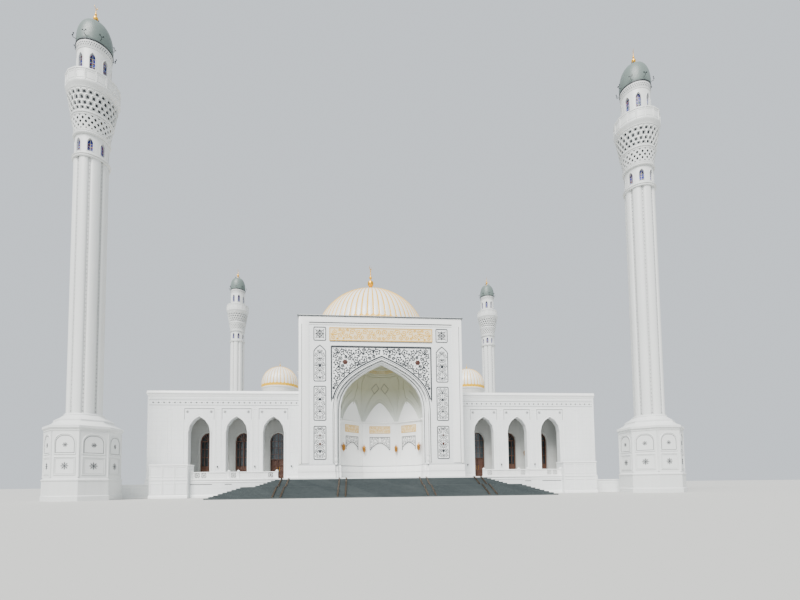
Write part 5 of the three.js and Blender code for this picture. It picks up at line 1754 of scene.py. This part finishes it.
def makeTerraceTrim():
    stone, grey = [], []
    nosing = [(-0.002, 0.2255), (0.008, 0.2275), (0.008, 0.2375), (0.004, 0.2402), (-0.002, 0.2402)]
    mould = [(-0.002, 0.196), (0.003, 0.197), (0.005, 0.203), (0.003, 0.209), (-0.002, 0.210)]
    foot = [(-0.002, 0.001), (0.008, 0.001), (0.008, 0.030), (0.003, 0.040), (-0.002, 0.040)]
    for start, section in ((1.3405, nosing), (1.465, mould), (2.052, foot)):
        stone += [straightRun(start, 2.4695, section, -3.4), straightRun(-2.4695, -start, section, -3.4)]
    for side, turn in sides.items():
        slots = [(-2.463, -2.193), (-2.034, -1.946), (1.946, 2.034), (2.193, 2.463)]
        if side != "front":
            stone += movedAll([straightRun(-2.47, 2.47, section, -3.4) for section in (nosing, mould, foot)],
                              turn=turn)
            slots += [(-1.5, -0.9), (-0.6, -0.05), (0.05, 0.6), (0.9, 1.5)]
        grey += [moved(block(slot, (-3.4012, -3.398), (0.169, 0.1765)), turn=turn) for slot in slots]
    panels = [rectBand(left, right, low, high, roundBand(0.004, 0.004))
              for left, right in ((2.487, 2.62), (2.64, 2.765), (2.785, 2.918)) for low,
              high in ((0.275, 0.395), (0.055, 0.19))]
    panels += [band([(x, 0.04), (x, 0.425)], roundBand(0.004, 0.005)) for x in (2.478, 2.63, 2.775, 2.927)]
    blocks = placed(panels, 3.47)
    plan = [(2.47, -3.25), (2.47, -3.47), (2.935, -3.47), (2.935, -3.25)]
    for path, section in ((plan, [(-0.002, 0.412), (0.007, 0.415), (0.007, 0.426), (0.003, 0.430), (-0.002, 0.430)]),
                          (plan[1:], [(-0.002, 0.2255), (0.005, 0.2275), (0.005, 0.2375), (-0.002, 0.2402)]),
                          (plan[1:], foot)):
        blocks.append(alongPlan(path, 0.0, section))
    stone += bothSides(blocks)
    arm = []  # a link wall to a minaret, framed on both of its faces
    for left, right in ((4.33, 4.46), (4.475, 4.605), (4.62, 4.735)):
        for a, b, turn in ((left, right, 0.0), (-right, -left, tau / 2)):
            arm += placed([rectBand(a, b, 0.05, 0.145, roundBand(0.003, 0.003))], 0.03, turn)
    arm.append(block((4.26, 4.752), (-0.036, 0.036), (0.1705, 0.1815)))
    arm.append(block((4.26, 4.752), (-0.034, 0.034), (0.001, 0.022)))
    makePiece("terrace_mouldings", stone + around(arm, 4, shift=0.5), "cleanMarble")
    makePiece("terrace_slots", grey, "greyInlay")


makeTerraceTrim()
print("terrace done")


# ---- the dome's block, turrets and drum
drumLook = {"radius": 1.215, "count": 24, "low": 2.1503, "high": 2.912, "window": (0.058, 2.36, 2.63, 2.735, 1.165)}


def makeDrum():
    look = drumLook
    radius, count = look["radius"], look["count"]
    stone = [windowDrum(look, inner=1.145, rows=3)]
    frames, panes = windowTrim(look, roundBand(0.009, 0.008), margin=0.010)
    ring = [(1.145, 2.9105), (1.218, 2.9105), (1.222, 2.918), (1.236, 2.926), (1.24, 2.936), (1.25, 2.943),
            (1.25, 2.96), (1.145, 2.96)]
    stone += frames + windowBars(look, 0.09) + [turned(ring, 96, ring=True)]
    stone += [torus(1.219, 0.010, 0.010, 2.20, 96), torus(1.218, 0.006, 0.008, 2.29, 96),
              torus(1.218, 0.006, 0.008, 2.82, 96)]
    pilaster = [block((-0.016, 0.016), (-0.010, 0.006), (2.295, 2.812))]
    pilaster += [block((-0.022, 0.022), (-0.014, 0.006), ends) for ends in ((2.79, 2.812), (2.295, 2.317))]
    vine = [leaves([(-0.05, 2.865)], 0.0, 0.10, 0.022, 0.003), leaves([(0.0, 2.835)], tau / 4, 0.06, 0.016, 0.004),
            bosses([(0.108, 2.865), (-0.108, 2.865)], 0.012, 0.004)]
    grey = around([wrapped(part, [(radius, 2.0), (radius, 3.0)], radius) for part in vine], count, shift=0.5)
    makePiece("drum_walls", stone + around(pilaster, count, 1.2135, 0.5), "whiteMarble", replaced=("dome_drum",))
    makePiece("drum_inlay", grey, "greyInlay")
    makePiece("drum_panes", panes, "stainedGlass")


makeDrum()


def makeBlock():
    half = 1.34
    stone, grey, glass, gold = [], [], [], []
    bead = roundBand(0.008, 0.010)
    items = [archBand(0.105, 1.80, 1.97, bead, foot=1.50), band([(-0.105, 1.50), (0.105, 1.50)], bead),
             rectBand(-0.165, 0.165, 1.45, 2.02, roundBand(0.006, 0.006)),
             archBand(0.078, 1.79, 1.915, roundBand(0.005, 0.007), foot=1.53)]
    roses = [part for x in (0.11, -0.11) for part in rosette((x, 1.965), 0.026, 8, 0.003)]
    pane = plate(archLine(0.072, 1.79, 1.905, 6, foot=1.535), 0.002)
    for turn in sides.values():
        for x in (-0.92, -0.46, 0.0, 0.46, 0.92):
            for group, parts in ((stone, items), (grey, roses), (glass, [pane])):
                group += placed(parts, half, turn, x)
    loop = np.array([(-half, -half), (half, -half), (half, half), (-half, half)])
    for level, section in ((2.09, [(-0.002, 0), (0.006, 0.004), (0.008, 0.016), (0.018, 0.026), (0.020, 0.045),
                                   (0.028, 0.052), (0.028, 0.0598), (-0.002, 0.0598)]),
                           (1.3806, [(-0.002, 0), (0.012, 0), (0.012, 0.035), (0.004, 0.048), (-0.002, 0.048)])):
        stone.append(carried(np.column_stack([loop, np.full(4, level)]), section, upward, closed=True))
    # turrets: ringed shafts with panels, ribbed caps and gilded tips
    radius = 0.079
    shaft = [(0, 2.149), (0.086, 2.149), (0.086, 2.175), (radius, 2.185), (radius, 2.33), (0.084, 2.337),
             (0.084, 2.345), (0.090, 2.352), (0.090, 2.368), (0.080, 2.374), (0, 2.374)]
    t = np.linspace(0, 1, 12)
    cap = [radius * np.cos(t * tau / 4) ** 0.8 * (1 + 0.06 * np.sin(t * tau / 2)), 2.372 + 0.122 * np.sin(t * tau / 4)]
    cap = np.vstack([[(0, 2.37)], np.column_stack(cap)[:-1], [(0, 2.494)]])
    tip = [(0, 2.489), (0.010, 2.489), (0.006, 2.496), (0.011, 2.506), (0.006, 2.517), (0.003, 2.524),
           (0.0025, 2.556), (0, 2.56)]
    frame = archBand(0.017, 2.275, 2.31, roundBand(0.003, 0.004), 5, foot=2.20)
    turret = [turned(shaft, 32), turned(cap, 48, ripple=lambda a, h: 1 + 0.025 * np.abs(np.sin(6 * a)))]
    turret += around([wrapped(frame, [(radius, 2), (radius, 3)], radius)], 8)
    for sx, sy in corners.values():
        at = (sx * 1.255, sy * 1.255, 0)
        stone += movedAll(turret, at)
        gold.append(moved(turned(tip, 12), at))
    for left, right in ((-3.34, -3.14), (-3.10, -2.86), (-2.82, -2.62)):  # framed panels on the portal's long sides
        for low, high in ((1.50, 1.86), (1.90, 2.27)):
            for turn, a, b in ((tau / 4, left, right), (-tau / 4, -right, -left)):
                stone += placed([rectBand(a, b, low, high, roundBand(0.006, 0.006))], portalLook["half"], turn)
    for name, parts, finish in (("block_mouldings", stone, "cleanMarble"), ("block_inlay", grey, "greyInlay"),
                                ("block_panes", glass, "stainedGlass"), ("turret_finials", gold, "gilding")):
        makePiece(name, parts, finish)


makeBlock()
print("block done")


# ---- floor and light
stageLook = {
    "floor": (0.44, 0.44, 0.42, 1), "sky": (0.68, 0.73, 0.78, 1), "skyPower": 1.25, "sunPower": 8.0, "sunSoft": 0.6,
    "sunWay": (0.32, 0.62, -0.84),
}


def makeStage(look):
    size = 60.0
    mesh = bpy.data.meshes.new("floor")
    mesh.from_pydata([(-size, -size, 0.0), (size, -size, 0.0), (size, size, 0.0), (-size, size, 0.0)], [],
                     [(0, 1, 2, 3)])
    mesh.materials.append(newMaterial("paleFloor", {"Roughness": 0.8, "Base Color": look["floor"]})[0])
    floor = bpy.data.objects.new("floor", mesh)
    bpy.context.scene.collection.objects.link(floor)
    world = bpy.data.worlds.new("studio")
    world.use_nodes = True
    sky = world.node_tree.nodes["Background"].inputs
    sky["Color"].default_value, sky["Strength"].default_value = look["sky"], look["skyPower"]
    bpy.context.scene.world = world
    light = bpy.data.lights.new("sun", "SUN")
    light.energy, light.angle = look["sunPower"], look["sunSoft"]
    light.color = (1.0, 0.98, 0.95)
    sun = bpy.data.objects.new("sun", light)
    sun.matrix_world = Vector(look["sunWay"]).to_track_quat("-Z", "Y").to_matrix().to_4x4()
    bpy.context.scene.collection.objects.link(sun)


makeStage(stageLook)

print("pieces:", len(pieceFaces), "triangles:", sum(pieceFaces.values()), "largest:",
      max(pieceFaces, key=pieceFaces.get))
